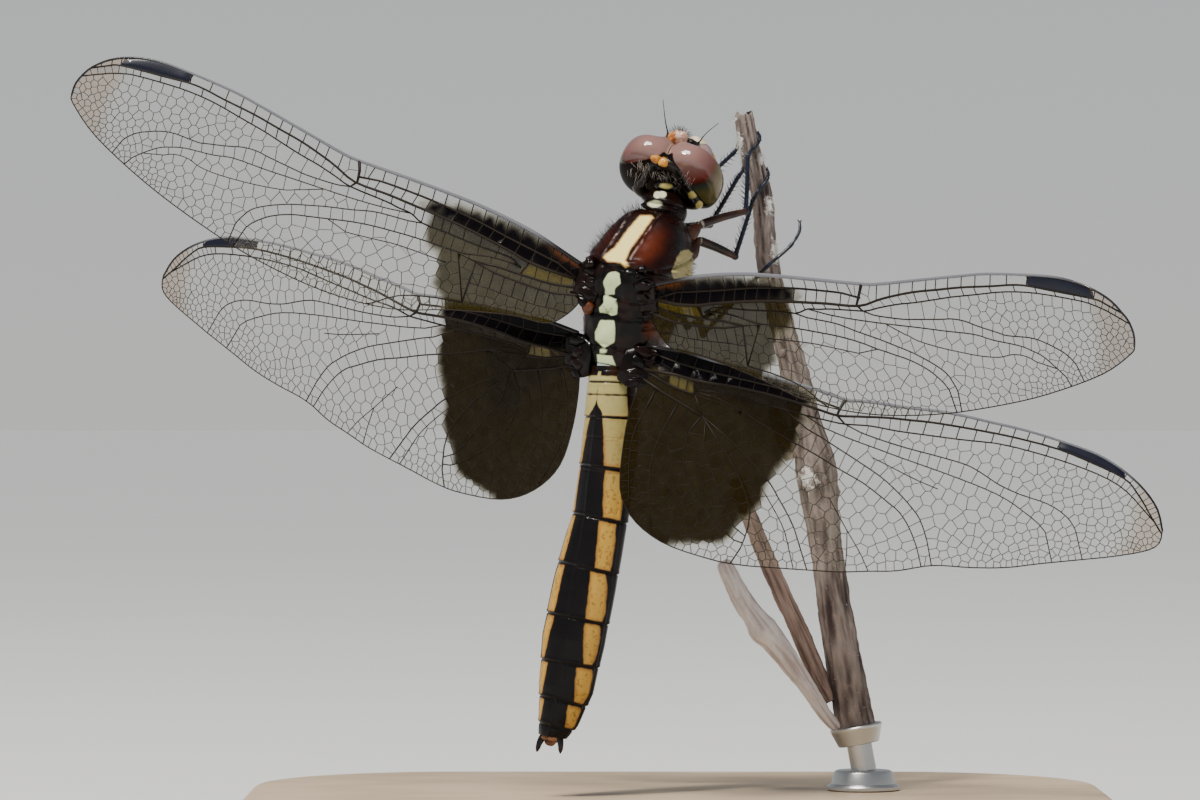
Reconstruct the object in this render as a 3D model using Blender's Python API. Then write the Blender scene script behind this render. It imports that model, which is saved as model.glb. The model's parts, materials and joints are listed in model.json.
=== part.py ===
"""Life-size model of a female widow skimmer (Libellula luctuosa) gripping a cut twig on a plain stand.

Everything is laid out in millimetres in a front frame (X right, Y up, Z towards the viewer, Y = 0 at
BODY_LEVEL above the floor) and turned into world metres (+Z up, -Y towards the viewer) by place().
The world origin is the middle of the stand's underside.
"""
from math import cos, pi, radians, sin

import bmesh
import bpy
from mathutils import Matrix, Vector

# ---- overall sizes, mm ------------------------------------------------------------------------
BODY_LEVEL = 34.0        # height of the front frame's origin above the floor
FOREWING = 39.0          # costal base to tip
HINDWING = 37.5
WING_THICK = 0.5         # the real membrane is far thinner; the solid is as thin as it is allowed
LIMB = 0.26              # least radius of a leg or feeler solid
GAP = 0.1                # clear space between neighbouring solids

# thorax: tilt of its long axis in the front plane, and its roll towards the left of the view
THORAX_TILT, THORAX_ROLL = radians(12.0), radians(24.0)
THORAX_AT = (2.325, 8.58, 0.0)      # mid point between the fore wing hinges, at mid height
HEAD_AT = (5.05, 16.35, -3.0)
HEAD_FORWARD = (0.36, 0.70, -0.62)
HEAD_RIGHT = (0.931, -0.228, 0.284)
EYE = (1.93, 2.0, 2.5)              # half sizes: across, fore and aft, up and down
EYE_OUT = 1.88                      # eye centre from the mid plane
EYE_BACK = 0.9                      # flat rear face of the eye, behind its centre

# abdomen: (front-frame X, Y, half width, half height, roll in degrees) along the middle line
ABDOMEN_LINE = (
    (0.95, 2.05, 1.65, 1.45, 22), (0.90, 1.00, 1.80, 1.60, 22), (0.85, -1.30, 1.95, 1.65, 23),
    (0.68, -4.00, 2.10, 1.55, 24), (0.10, -8.10, 2.08, 1.45, 25), (-0.95, -12.70, 2.28, 1.50, 27),
    (-1.85, -16.90, 2.12, 1.45, 29), (-2.42, -20.30, 1.80, 1.30, 31), (-2.98, -22.60, 1.32, 1.05, 32),
    (-3.30, -23.70, 0.95, 0.85, 32),
)
# where each segment S1 to S10 starts and ends, as Y in the front frame
SEGMENT_Y = (2.05, 1.25, -1.25, -4.80, -8.35, -11.85, -15.40, -18.55, -21.20, -23.00, -23.70)

TWIG_DEPTH = -7.5
# twig middle line: (X, Y, radius), top to cut end
TWIG_LINE = (
    (10.30, 20.55, 0.62), (10.45, 19.6, 0.68), (10.85, 17.6, 0.72), (11.65, 14.3, 0.74),
    (11.90, 11.0, 0.76), (12.35, 8.2, 0.80), (13.15, 5.0, 0.84), (14.05, 1.6, 0.98),
    (14.90, -1.9, 1.10), (15.55, -5.2, 1.46), (15.95, -8.6, 1.22), (16.5, -12.5, 1.16),
    (17.35, -18.0, 1.28), (18.35, -23.4, 1.40),
)
SHOOTS = {   # side shoots: points (X, Y, Z, radius) from the tip to where they meet the twig
    "perch_stub": ((12.35, -0.6, -7.2, 0.30), (12.85, -1.8, -7.2, 0.52), (13.22, -2.7, -7.3, 0.60)),
    "perch_shoot_upper": ((9.7, -5.6, -8.4, 0.50), (10.75, -8.4, -8.4, 0.56), (12.4, -12.4, -8.3, 0.62),
                          (14.4, -16.8, -8.1, 0.66), (15.75, -19.9, -7.8, 0.60)),
    "perch_shoot_lower": ((8.75, -11.5, -6.0, 0.62), (10.3, -14.5, -6.0, 0.80), (12.4, -17.2, -6.1, 0.92),
                          (14.4, -19.9, -6.3, 0.70), (16.2, -22.6, -6.8, 0.52)),
}

BASE_CENTRE = (5.5, 4.5)            # front-frame X and depth of the base's middle
BASE_HALF = (31.0, 24.5)
BASE_THICK = 6.0
BASE_CORNER = 15.0
ROD_RADIUS = 0.9
COLLAR = (2.6, 1.4)                 # radius and height of the collar on the base
FERRULE = (1.85, 1.2)               # radius and length of the cup that holds the twig's cut end

# wings: costal base (X, Y, Z), then the directions of the span and of the chord to the rear
WINGS = {
    "wing_fore_left": ((-1.03, 9.46, 1.30), (-0.936, 0.314, -0.156), (-0.319, -0.948, 0.006)),
    "wing_fore_right": ((3.58, 8.06, 3.80), (0.807, -0.116, 0.578), (0.118, -0.929, -0.351)),
    "wing_hind_right": ((3.78, 3.30, 2.20), (0.934, -0.321, 0.154), (-0.339, -0.934, 0.110)),
    "wing_hind_left": ((-2.08, 4.51, -0.30), (-0.806, 0.133, -0.577), (-0.074, -0.989, -0.124)),
}
# half of each outline in (span, chord) mm, from the root along the costa and back along the rear edge
FORE_OUTLINE = (
    (-0.35, 0.20), (2.0, -0.45), (6.0, -1.35), (11.0, -1.80), (17.57, -1.97), (24.0, -3.10),
    (31.0, -4.12), (35.0, -4.05), (37.7, -2.95), (39.05, -0.9), (38.8, 0.55), (36.4, 2.3),
    (32.0, 4.25), (27.1, 5.85), (22.5, 6.95), (17.2, 7.55), (12.3, 7.25), (8.2, 6.0),
    (4.0, 5.0), (1.4, 4.75), (0.30, 3.90), (-0.45, 2.40),
)
HIND_OUTLINE = (
    (-0.60, -0.30), (2.0, -0.75), (6.0, -1.00), (13.8, -1.27), (18.0, -2.10), (23.0, -2.98),
    (28.9, -3.32), (32.5, -3.15), (35.5, -2.0), (37.4, -0.1), (37.5, 1.5), (35.4, 2.85),
    (30.6, 5.1), (25.9, 7.05), (21.2, 8.95), (17.5, 10.25), (13.1, 11.5), (8.6, 12.42),
    (5.0, 12.38), (2.2, 11.3), (0.1, 9.2), (-0.8, 6.2), (-1.05, 3.6), (-0.8, 1.2),
)

# legs: joints as (X, Y, Z) in the front frame: hip, knee, ankle; the foot follows the twig
LEGS = {
    "fore_right": ((7.1, 12.45, -3.3), (10.4, 13.45, -5.0), (10.55, 17.4, -5.8)),
    "mid_right": ((6.95, 11.35, -3.7), (9.65, 10.25, -5.7), (10.95, 14.35, -6.15)),
    "hind_right": ((6.2, 9.1, -4.4), (7.4, 4.7, -8.0), (11.45, 9.0, -6.2)),
    "fore_left": ((4.35, 13.55, -5.0), (6.5, 14.9, -8.2), (9.62, 17.75, -7.6)),
    "mid_left": ((4.15, 12.0, -5.4), (7.9, 12.6, -8.3), (9.98, 16.1, -7.7)),
    "hind_left": ((3.75, 9.5, -5.6), (6.3, 5.3, -10.0), (11.25, 7.9, -8.35)),
}
# feet that curl round the twig: start and end height, start and end angle from the front, in degrees
FEET = {
    "fore_right": (17.75, 19.2, -8, 112), "mid_right": (14.75, 16.6, -25, 105),
    "fore_left": (18.0, 18.9, -92, -165), "mid_left": (16.35, 17.2, -95, -165),
    "hind_left": (8.2, 9.2, -140, -215),
}
FREE_FOOT = ((11.75, 9.35, -6.1), (12.6, 10.1, -5.95), (13.6, 11.0, -6.2), (14.25, 12.0, -6.5), (14.3, 12.7, -6.8))
FEMUR_R = {"fore": 0.36, "mid": 0.38, "hind": 0.40}


# ---- frames -----------------------------------------------------------------------------------
def place(p):
    """Front-frame millimetres to world metres."""
    return Vector((p[0] - BASE_CENTRE[0], -p[2] - BASE_CENTRE[1], p[1] + BODY_LEVEL)) * 0.001


def turn(d):
    """A direction in the front frame, in the world."""
    return Vector((d[0], -d[2], d[1])).normalized()


def pose(at, right, forward):
    """Matrix that puts an object's origin at a front-frame point, its +X to the right and +Y forward."""
    x, y = turn(right), turn(forward)
    y = (y - x * y.dot(x)).normalized()
    return Matrix.Translation(place(at)) @ Matrix((x, y, x.cross(y))).transposed().to_4x4()


class Frame:
    """An origin with right, forward and up directions."""

    def __init__(self, at, right, forward):
        self.at = Vector(at)
        self.right = Vector(right).normalized()
        forward = Vector(forward)
        self.forward = (forward - self.right * forward.dot(self.right)).normalized()
        self.up = self.right.cross(self.forward)
        self.matrix = pose(self.at, self.right, self.forward)

    def front(self, out, ahead, above):
        return self.at + self.right * out + self.forward * ahead + self.up * above


THORAX = Frame(
    THORAX_AT,
    (cos(THORAX_ROLL) * cos(THORAX_TILT), -cos(THORAX_ROLL) * sin(THORAX_TILT), sin(THORAX_ROLL)),
    (sin(THORAX_TILT), cos(THORAX_TILT), 0.0),
)
HEAD = Frame(HEAD_AT, HEAD_RIGHT, HEAD_FORWARD)


# ---- shared shapes ----------------------------------------------------------------------------
def clear_scene():
    for obj in list(bpy.data.objects):
        bpy.data.objects.remove(obj, do_unlink=True)


def collection(name):
    made = bpy.data.collections.new(name)
    bpy.context.scene.collection.children.link(made)
    return made


def material(name, colour, roughness=0.5, metallic=0.0, alpha=1.0):
    made = bpy.data.materials.new(name)
    made.use_nodes = True
    shader = made.node_tree.nodes["Principled BSDF"]
    shader.inputs["Base Color"].default_value = (*colour, 1.0)
    shader.inputs["Roughness"].default_value = roughness
    shader.inputs["Metallic"].default_value = metallic
    shader.inputs["Alpha"].default_value = alpha
    made.diffuse_color = (*colour, 1.0)
    return made


def link(obj, mat, into, matrix, parent):
    obj.data.materials.append(mat)
    obj.matrix_world = matrix
    obj.parent = parent
    into.objects.link(obj)
    return obj


def add_mesh(name, bm, mat, into, matrix, parent=None):
    """An object whose mesh is in metres in its own frame."""
    bmesh.ops.recalc_face_normals(bm, faces=bm.faces)
    mesh = bpy.data.meshes.new(name)
    bm.to_mesh(mesh)
    bm.free()
    mesh.shade_smooth()
    return link(bpy.data.objects.new(name, mesh), mat, into, matrix, parent)


def smooth(points, steps, closed=False):
    """Points on a Catmull-Rom curve through the given ones."""
    points = [Vector(p) for p in points]
    count = len(points)
    found = []
    for i in range(count if closed else count - 1):
        ids = [(i + k) % count if closed else min(max(i + k, 0), count - 1) for k in (-1, 0, 1, 2)]
        a, b, c, d = (points[j] for j in ids)
        for s in range(steps):
            t = s / steps
            found.append(0.5 * (2 * b + (c - a) * t + (2 * a - 5 * b + 4 * c - d) * t * t
                                + (3 * b - a - 3 * c + d) * t ** 3))
    if not closed:
        found.append(points[-1])
    return found


def ring(y, wide, high, low, sides, power=2.0, keel=2.0, lift=0.0):
    """An oval in mm across an object's Y axis: half width, height above and below, and squareness."""
    found = []
    for i in range(sides):
        t = 2 * pi * i / sides
        c, s = cos(t), sin(t)
        p = keel if s > 0 else power
        x = wide * abs(c) ** (2 / p) * (1 if c >= 0 else -1)
        z = (high if s > 0 else -low) * abs(s) ** (2 / p)
        found.append(Vector((x, y, z + lift)))
    return found


def loft(name, rings, mat, into, matrix, parent):
    """A closed body through unlike rings, in order, with flat ends."""
    bm = bmesh.new()
    rows = [[bm.verts.new(p * 0.001) for p in row] for row in rings]
    for low, high in zip(rows, rows[1:]):
        for i in range(len(low)):
            j = (i + 1) % len(low)
            bm.faces.new((low[i], low[j], high[j], high[i]))
    bm.faces.new(rows[0])
    bm.faces.new(rows[-1])
    return add_mesh(name, bm, mat, into, matrix, parent)


def curve(name, points, mat, into, matrix, parent, closed=False):
    """A POLY curve; each point is (x, y, z, radius) in mm in the object's own frame."""
    data = bpy.data.curves.new(name, "CURVE")
    data.dimensions = "2D" if closed else "3D"
    spline = data.splines.new("POLY")
    spline.points.add(len(points) - 1)
    for made, (x, y, z, r) in zip(spline.points, points):
        made.co = (x * 0.001, y * 0.001, z * 0.001, 1.0)
        made.radius = r
    spline.use_cyclic_u = closed
    return link(bpy.data.objects.new(name, data), mat, into, matrix, parent)


def limb(name, path, mat, into, parent, resolution=2):
    """A tapering round limb through front-frame points (X, Y, Z, radius), as a bevelled curve."""
    start = Vector(path[0][:3])
    points = [(p[0] - start.x, p[1] - start.y, p[2] - start.z, p[3]) for p in path]
    obj = curve(name, points, mat, into, pose(start, (1, 0, 0), (0, 1, 0)), parent)
    obj.data.bevel_depth = 0.001
    obj.data.bevel_resolution = resolution
    obj.data.use_fill_caps = True
    return obj


def along(a, b, stops, radii):
    """Points of a straight limb from a to b, at shares of its length."""
    return [(*(Vector(a).lerp(Vector(b), t)), r) for t, r in zip(stops, radii)]


def egg(name, centre, half, mat, into, parent=None, cuts=(), grow=0.0, rows=10, sides=16):
    """An ellipsoid in the head's frame; each cut is (point, direction to remove), in mm."""
    bm = bmesh.new()
    bmesh.ops.create_uvsphere(bm, u_segments=sides, v_segments=rows, radius=0.001)
    bmesh.ops.scale(bm, vec=[h + grow for h in half], verts=bm.verts)
    bmesh.ops.translate(bm, vec=Vector(centre) * 0.001, verts=bm.verts)
    for at, away in cuts:
        at = (Vector(at) + Vector(away) * grow) * 0.001
        found = bmesh.ops.bisect_plane(bm, geom=bm.verts[:] + bm.edges[:] + bm.faces[:], plane_co=at,
                                       plane_no=Vector(away), clear_outer=True)
        rim = [e for e in found["geom_cut"] if isinstance(e, bmesh.types.BMEdge)]
        bmesh.ops.contextual_create(bm, geom=rim)
    return add_mesh(name, bm, mat, into, HEAD.matrix, parent)


def turned(name, radii, depth, top, axis, mat, into, parent):
    """A cone or cylinder hanging from the front-frame point top, along axis."""
    bm = bmesh.new()
    bmesh.ops.create_cone(bm, cap_ends=True, segments=24, radius1=radii[1] * 0.001, radius2=radii[0] * 0.001,
                          depth=depth * 0.001)
    spin = turn(-Vector(axis)).to_track_quat("Z", "Y").to_matrix().to_4x4()
    middle = place(Vector(top) + Vector(axis).normalized() * depth / 2)
    return add_mesh(name, bm, mat, into, Matrix.Translation(middle) @ spin, parent)


def boolean(obj, other, operation):
    made = obj.modifiers.new(f"{operation.lower()}_{other.name}", "BOOLEAN")
    made.operation, made.solver, made.object = operation, "EXACT", other


def helper(obj):
    obj.hide_render = True
    obj.display_type = "WIRE"
    return obj


# ---- the animal -------------------------------------------------------------------------------
def build_eye(side, name, mat, into, parent=None, grow=0.0):
    middle = (0.03 if grow == 0 else -0.2) * side
    return egg(name, (EYE_OUT * side, 0.0, 0.0), EYE, mat, into, parent,
               cuts=(((0.0, -EYE_BACK, 0.0), (0, -1, 0)), ((middle, 0, 0), (-side, 0, 0))),
               grow=grow, rows=12, sides=18)


def build_head(main, spare, body):
    """Black hollow-backed capsule with a bulging face, cut to seat the two eyes."""
    black = material("head_black", (0.02, 0.014, 0.012), 0.35)
    mauve = material("eye_mauve", (0.20, 0.09, 0.085), 0.12)
    head = egg("head", (0, 1.5, -0.55), (2.5, 2.15, 2.5), black, main, body, rows=14, sides=20)
    back = egg("head_back_form", (0, -0.55, -0.15), (3.45, 0.75, 2.2), black, spare,
               cuts=(((0.0, -1.12, 0.0), (0, -1, 0)),), rows=12, sides=24)
    vertex = egg("head_vertex_form", (0, 1.7, 1.75), (0.8, 0.6, 0.65), black, spare, rows=8, sides=12)
    hollow = egg("head_hollow_form", (0, -1.5, -0.4), (1.3, 0.6, 1.15), black, spare, rows=8, sides=12)
    for form in (back, vertex):
        boolean(head, helper(form), "UNION")
    boolean(head, helper(hollow), "DIFFERENCE")
    for side, word in ((-1, "left"), (1, "right")):
        boolean(head, helper(build_eye(side, f"socket_{word}_form", black, spare, grow=0.07)), "DIFFERENCE")
        build_eye(side, f"eye_{word}", mauve, main, body)
    feeler = material("antenna_dark", (0.03, 0.025, 0.022), 0.5)
    for side, word, tip in ((-1, "left", (-1.45, 2.75, 3.7)), (1, "right", (1.85, 4.4, 0.85))):
        root, tip = HEAD.front(1.1 * side, 2.05, 1.66), HEAD.front(*tip)
        limb(f"antenna_{word}", along(root, tip, (0.2, 0.6, 1), (LIMB, LIMB, LIMB * 0.97)), feeler, main, body, 1)


def build_thorax(main, body):
    """Neck, prothorax and the wing-bearing thorax, whose front slopes down to the head."""
    brown = material("thorax_brown", (0.16, 0.045, 0.018), 0.45)
    # ahead, top, bottom, half width
    stations = ((4.95, -0.75, -3.35, 1.35), (4.45, -0.02, -4.0, 2.0), (3.2, 1.10, -4.5, 2.7),
                (2.0, 2.15, -4.75, 3.1), (0.85, 3.15, -4.85, 3.3), (-0.2, 3.0, -4.8, 3.2),
                (-2.0, 2.55, -4.4, 3.1), (-3.8, 2.1, -3.7, 2.9), (-5.3, 1.75, -2.75, 2.5),
                (-6.35, 1.40, -1.75, 1.95))
    rings = [ring(ahead, half, (top - low) / 2, (top - low) / 2, 22, 2.7, 2.7, (top + low) / 2)
             for ahead, top, low, half in stations]
    loft("thorax", rings, brown, main, THORAX.matrix, body)
    dark = material("prothorax_dark", (0.05, 0.02, 0.012), 0.5)
    rings = [ring(ahead, half, high, high, 14, 2.3, 2.3, mid) for ahead, mid, half, high in (
        (5.08, -2.15, 1.15, 1.0), (5.5, -2.2, 1.45, 1.25), (6.0, -2.35, 1.35, 1.15), (6.45, -2.5, 0.95, 0.85))]
    loft("prothorax", rings, dark, main, THORAX.matrix, body)
    start, end = THORAX.front(0.08, 6.87, -2.63), HEAD.front(0.14, -1.2, -0.5)
    limb("neck", along(start, end, (0, 0.5, 1), (0.56, 0.5, 0.52)), material("neck_dark", (0.04, 0.02, 0.015), 0.6),
         main, body, 3)


def abdomen_at(y):
    """Middle line, half width, half height and roll of the abdomen at a height y."""
    for a, b in zip(ABDOMEN_LINE, ABDOMEN_LINE[1:]):
        if a[1] >= y >= b[1]:
            t = (a[1] - y) / (a[1] - b[1])
            return [p + (q - p) * t for p, q in zip(a, b)]
    return ABDOMEN_LINE[0] if y > ABDOMEN_LINE[0][1] else ABDOMEN_LINE[-1]


def segment_frame(y):
    """The abdomen's own frame at a height y: +Y towards the head, +Z its back."""
    x, _, _, _, roll = abdomen_at(y)
    ahead = Vector((abdomen_at(y + 1.2)[0] - abdomen_at(y - 1.2)[0], 2.4, 0)).normalized()
    right = (ahead.y * cos(radians(roll)), -ahead.x * cos(radians(roll)), sin(radians(roll)))
    return pose((x, y, 0), right, ahead)


def build_segment(k, mat, main, body):
    """One abdominal ring: oval, flatter below, with a low keel along its back."""
    top, end = SEGMENT_Y[k] - GAP / 2, SEGMENT_Y[k + 1] + GAP / 2
    matrix = segment_frame(top)
    steps = 2 if k in (0, 9) else 3
    rings = []
    for i in range(steps + 1):
        y = top + (end - top) * i / steps
        _, _, wide, high, _ = abdomen_at(y)
        local = matrix.inverted() @ segment_frame(y)
        rings.append([local @ (p * 0.001) * 1000 for p in ring(0, wide, high * 1.12, high * 0.88, 20, 2.2, 1.75)])
    loft(f"abdomen_{k + 1}", rings, mat, main, matrix, body)


def build_abdomen(main, body):
    for k in range(10):
        colour = (0.42, 0.33, 0.10) if k < 3 else (0.10, 0.07, 0.03)
        build_segment(k, material(f"abdomen_{k + 1}_skin", colour, 0.4), main, body)
    dark = material("cercus_dark", (0.02, 0.015, 0.012), 0.4)
    for word, root, tip in (("left", (-3.92, -23.83, -0.10), (-4.45, -24.75, 0.05)),
                            ("right", (-2.95, -23.83, 0.40), (-2.80, -24.85, 0.60))):
        limb(f"cercus_{word}", along(root, tip, (0, 0.55, 1), (0.27, 0.28, 0.16)), dark, main, body)
    limb("anal_plate", along((-3.42, -23.83, 0.1), (-3.5, -24.25, 0.1), (0, 1), (0.24, 0.16)),
         material("anal_pink", (0.45, 0.28, 0.22), 0.6), main, body)


def build_wing(name, outline, main, body):
    """A flat blade: a filled outline in its own X (to the tip) and Y (to the rear), extruded."""
    base, span, chord = WINGS[name]
    membrane = material(f"{name}_membrane", (0.42, 0.44, 0.30), 0.2)
    points = [(p.x, p.y, 0.0, 1.0) for p in smooth(outline, 2, closed=True)]
    obj = curve(name, points, membrane, main, pose(base, span, chord), body, closed=True)
    obj.data.fill_mode = "BOTH"
    obj.data.extrude = WING_THICK / 2000


def twig_at(y):
    for a, b in zip(TWIG_LINE, TWIG_LINE[1:]):
        if a[1] >= y >= b[1]:
            t = (a[1] - y) / (a[1] - b[1])
            return [p + (q - p) * t for p, q in zip(a, b)]
    return TWIG_LINE[0]


def curled_foot(word, thick):
    """Points of a foot that climbs round the twig, clear of its bark."""
    low, high, first, last = FEET[word]
    found = []
    for i in range(7):
        y = low + (high - low) * i / 6
        x, _, r = twig_at(y)
        reach, angle = r + thick + 0.12, radians(first + (last - first) * i / 6)
        found.append((x + reach * sin(angle), y, TWIG_DEPTH + reach * cos(angle), thick if i < 6 else thick * 0.8))
    return found


def build_legs(main, body):
    brown = material("femur_brown", (0.09, 0.035, 0.018), 0.45)
    blue = material("tibia_blue_black", (0.025, 0.028, 0.045), 0.35)
    for word, (hip, knee, ankle) in LEGS.items():
        thigh, shin = (Vector(knee) - Vector(hip)).length, (Vector(ankle) - Vector(knee)).length
        r = FEMUR_R[word.split("_")[0]]
        limb(f"leg_{word}_femur", along(hip, knee, (0, 0.12, 0.6, 1 - 0.3 / thigh), (r * 0.9, r * 1.1, r, r * 0.8)),
             brown, main, body)
        limb(f"leg_{word}_tibia", along(knee, ankle, (0.5 / shin, 0.55, 1), (LIMB * 1.12, LIMB, LIMB)),
             blue, main, body)
        foot = curled_foot(word, LIMB) if word in FEET else [(*p, LIMB) for p in FREE_FOOT]
        limb(f"leg_{word}_tarsus", foot, blue, main, body, 1)


# ---- perch and stand --------------------------------------------------------------------------
def build_perch(main, stand):
    bark = material("twig_bark", (0.17, 0.14, 0.11), 0.85)
    path = [(p.x, p.y, TWIG_DEPTH, p.z) for p in smooth(TWIG_LINE, 2)]
    limb("perch_twig", path, bark, main, stand, 4)
    for name, points in SHOOTS.items():
        pale = (0.62, 0.60, 0.56) if name.endswith("lower") else (0.24, 0.18, 0.15)
        path = [tuple(p) for p in smooth(points, 2)]
        limb(name, path, material(f"{name}_bark", pale, 0.85), main, stand, 3)


def build_base(mat, main, stand):
    """A flat oblong block with well rounded corners and eased top and bottom edges."""
    bm = bmesh.new()
    bmesh.ops.create_cube(bm, size=0.001)
    bmesh.ops.scale(bm, vec=(2 * BASE_HALF[0], 2 * BASE_HALF[1], BASE_THICK), verts=bm.verts)
    upright = [e for e in bm.edges if abs(e.verts[0].co.z - e.verts[1].co.z) > 0.001]
    bmesh.ops.bevel(bm, geom=upright, offset=BASE_CORNER * 0.001, segments=8, affect="EDGES", profile=0.5)
    level = [e for e in bm.edges if abs(e.verts[0].co.z - e.verts[1].co.z) < 1e-6]
    bmesh.ops.bevel(bm, geom=level, offset=0.0007, segments=2, affect="EDGES", profile=0.5)
    add_mesh("stand_base", bm, mat, main, Matrix.Translation((0, 0, BASE_THICK * 0.0005)), stand)


def build_stand(main, stand):
    """The base, and one steel rod up to a cup at the twig's cut end."""
    steel = material("stand_steel", (0.62, 0.62, 0.60), 0.28, 1.0)
    build_base(material("stand_satin", (0.03, 0.03, 0.032), 0.45), main, stand)
    end, before = Vector(TWIG_LINE[-1]), Vector(TWIG_LINE[-2])
    down = Vector((end.x - before.x, end.y - before.y, 0)).normalized()
    cut = Vector((end.x, end.y, TWIG_DEPTH)) + down * GAP
    turned("stand_ferrule", (FERRULE[0], FERRULE[0] * 0.8), FERRULE[1], cut, down, steel, main, stand)
    top = cut + down * (FERRULE[1] + GAP)
    level = BASE_THICK - BODY_LEVEL
    foot = top + down * ((level + COLLAR[1] + 3 * GAP - top.y) / down.y)
    turned("stand_rod", (ROD_RADIUS, ROD_RADIUS), (foot - top).length, top, down, steel, main, stand)
    turned("stand_collar", (COLLAR[0] * 0.85, COLLAR[0]), COLLAR[1], (foot.x, level + COLLAR[1] + GAP, foot.z),
           (0, -1, 0), steel, main, stand)


def empty(name, into):
    made = bpy.data.objects.new(name, None)
    into.objects.link(made)
    return made


def build():
    clear_scene()
    main = collection("widow_skimmer_on_twig")
    spare = collection("cutting_forms")
    body, stand = empty("dragonfly", main), empty("perch_and_stand", main)
    build_head(main, spare, body)
    build_thorax(main, body)
    build_abdomen(main, body)
    for name in WINGS:
        build_wing(name, FORE_OUTLINE if "fore" in name else HIND_OUTLINE, main, body)
    build_legs(main, body)
    build_perch(main, stand)
    build_stand(main, stand)


build()
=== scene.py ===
"""Life-size widow skimmer (Libellula luctuosa, female) gripping a dry twig above a plain wooden base.

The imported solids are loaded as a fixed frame, and each visible piece is built at the same place. Shapes
are worked out in millimetres in a front frame (X right, Y up, Z towards the viewer), and each piece is
turned into world metres as its mesh is made. The animal's head and thorax have frames of their own.
"""
import json
from math import ceil, cos, exp, pi, radians, sin, sqrt

import bmesh
import bpy
import numpy as np
from mathutils import Matrix, Vector, noise
from mathutils.geometry import delaunay_2d_cdt

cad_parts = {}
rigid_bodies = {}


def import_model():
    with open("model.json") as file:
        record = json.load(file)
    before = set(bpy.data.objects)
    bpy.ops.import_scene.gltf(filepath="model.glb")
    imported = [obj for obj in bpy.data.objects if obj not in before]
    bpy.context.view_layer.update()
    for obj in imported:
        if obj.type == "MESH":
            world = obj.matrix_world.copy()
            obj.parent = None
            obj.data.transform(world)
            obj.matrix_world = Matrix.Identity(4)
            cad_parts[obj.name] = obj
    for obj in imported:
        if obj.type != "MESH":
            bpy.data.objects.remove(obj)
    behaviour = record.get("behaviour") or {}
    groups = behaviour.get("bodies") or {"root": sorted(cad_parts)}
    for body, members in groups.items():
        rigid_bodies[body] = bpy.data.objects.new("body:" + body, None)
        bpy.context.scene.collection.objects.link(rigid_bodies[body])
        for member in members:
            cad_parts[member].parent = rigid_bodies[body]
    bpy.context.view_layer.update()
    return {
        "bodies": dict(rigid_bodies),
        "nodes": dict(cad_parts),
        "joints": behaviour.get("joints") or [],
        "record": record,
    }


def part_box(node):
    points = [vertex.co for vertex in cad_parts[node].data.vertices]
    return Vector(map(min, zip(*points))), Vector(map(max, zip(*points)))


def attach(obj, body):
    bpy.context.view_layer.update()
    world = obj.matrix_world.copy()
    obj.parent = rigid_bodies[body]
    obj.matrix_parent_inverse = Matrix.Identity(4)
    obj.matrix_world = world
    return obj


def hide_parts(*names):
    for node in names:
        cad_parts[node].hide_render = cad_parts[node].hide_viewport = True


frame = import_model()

MM = 0.001
RNG = np.random.default_rng(7)
ANY_WAY, ANY_WAY_TOO = (0.31, 0.52, 0.79), (0.37, 0.61, 0.70)      # slanted directions that no limb follows

# ---- the shared frame, mm ----
BASE_LOW, BASE_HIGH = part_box("stand_base")
BASE_CENTRE = (5.5, 4.5)    # the base's middle in the front frame: X and depth
BODY_LEVEL = 34.0           # the front frame's origin above the floor
THORAX_TILT, THORAX_ROLL = radians(12.0), radians(24.0)
THORAX_AT = (2.325, 8.58, 0.0)
HEAD_AT, HEAD_FORWARD, HEAD_RIGHT = (5.05, 16.35, -3.0), (0.36, 0.70, -0.62), (0.931, -0.228, 0.284)
EYE, EYE_OUT = (1.93, 2.0, 2.5), 1.88       # half sizes, and how far out the middle is
WINGS = {   # costal base (X, Y, Z), then the directions of the span and of the chord to the rear
    "fore_left": ((-1.03, 9.46, 1.30), (-0.936, 0.314, -0.156), (-0.319, -0.948, 0.006)),
    "fore_right": ((3.58, 8.06, 3.80), (0.807, -0.116, 0.578), (0.118, -0.929, -0.351)),
    "hind_right": ((3.78, 3.30, 2.20), (0.934, -0.321, 0.154), (-0.339, -0.934, 0.110)),
    "hind_left": ((-2.08, 4.51, -0.30), (-0.806, 0.133, -0.577), (-0.074, -0.989, -0.124)),
}


class Frame:
    """An origin with right, forward and up directions in the front frame."""

    def __init__(self, at, right, forward):
        self.at = Vector(at)
        self.right = Vector(right).normalized()
        forward = Vector(forward)
        self.forward = (forward - self.right * forward.dot(self.right)).normalized()
        self.up = self.right.cross(self.forward)

    def front(self, out, ahead, above):
        return self.at + self.right * out + self.forward * ahead + self.up * above

    def array(self, points):
        """Rows of (out, ahead, above) to rows of front-frame points."""
        basis = np.array([self.right, self.forward, self.up])
        return np.asarray(points, float) @ basis + np.array(self.at)


THORAX = Frame(
    THORAX_AT,
    (cos(THORAX_ROLL) * cos(THORAX_TILT), -cos(THORAX_ROLL) * sin(THORAX_TILT), sin(THORAX_ROLL)),
    (sin(THORAX_TILT), cos(THORAX_TILT), 0.0),
)
HEAD = Frame(HEAD_AT, HEAD_RIGHT, HEAD_FORWARD)
FRONT = Frame((0, 0, 0), (1, 0, 0), (0, 1, 0))      # the front frame itself, up towards the viewer


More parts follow.
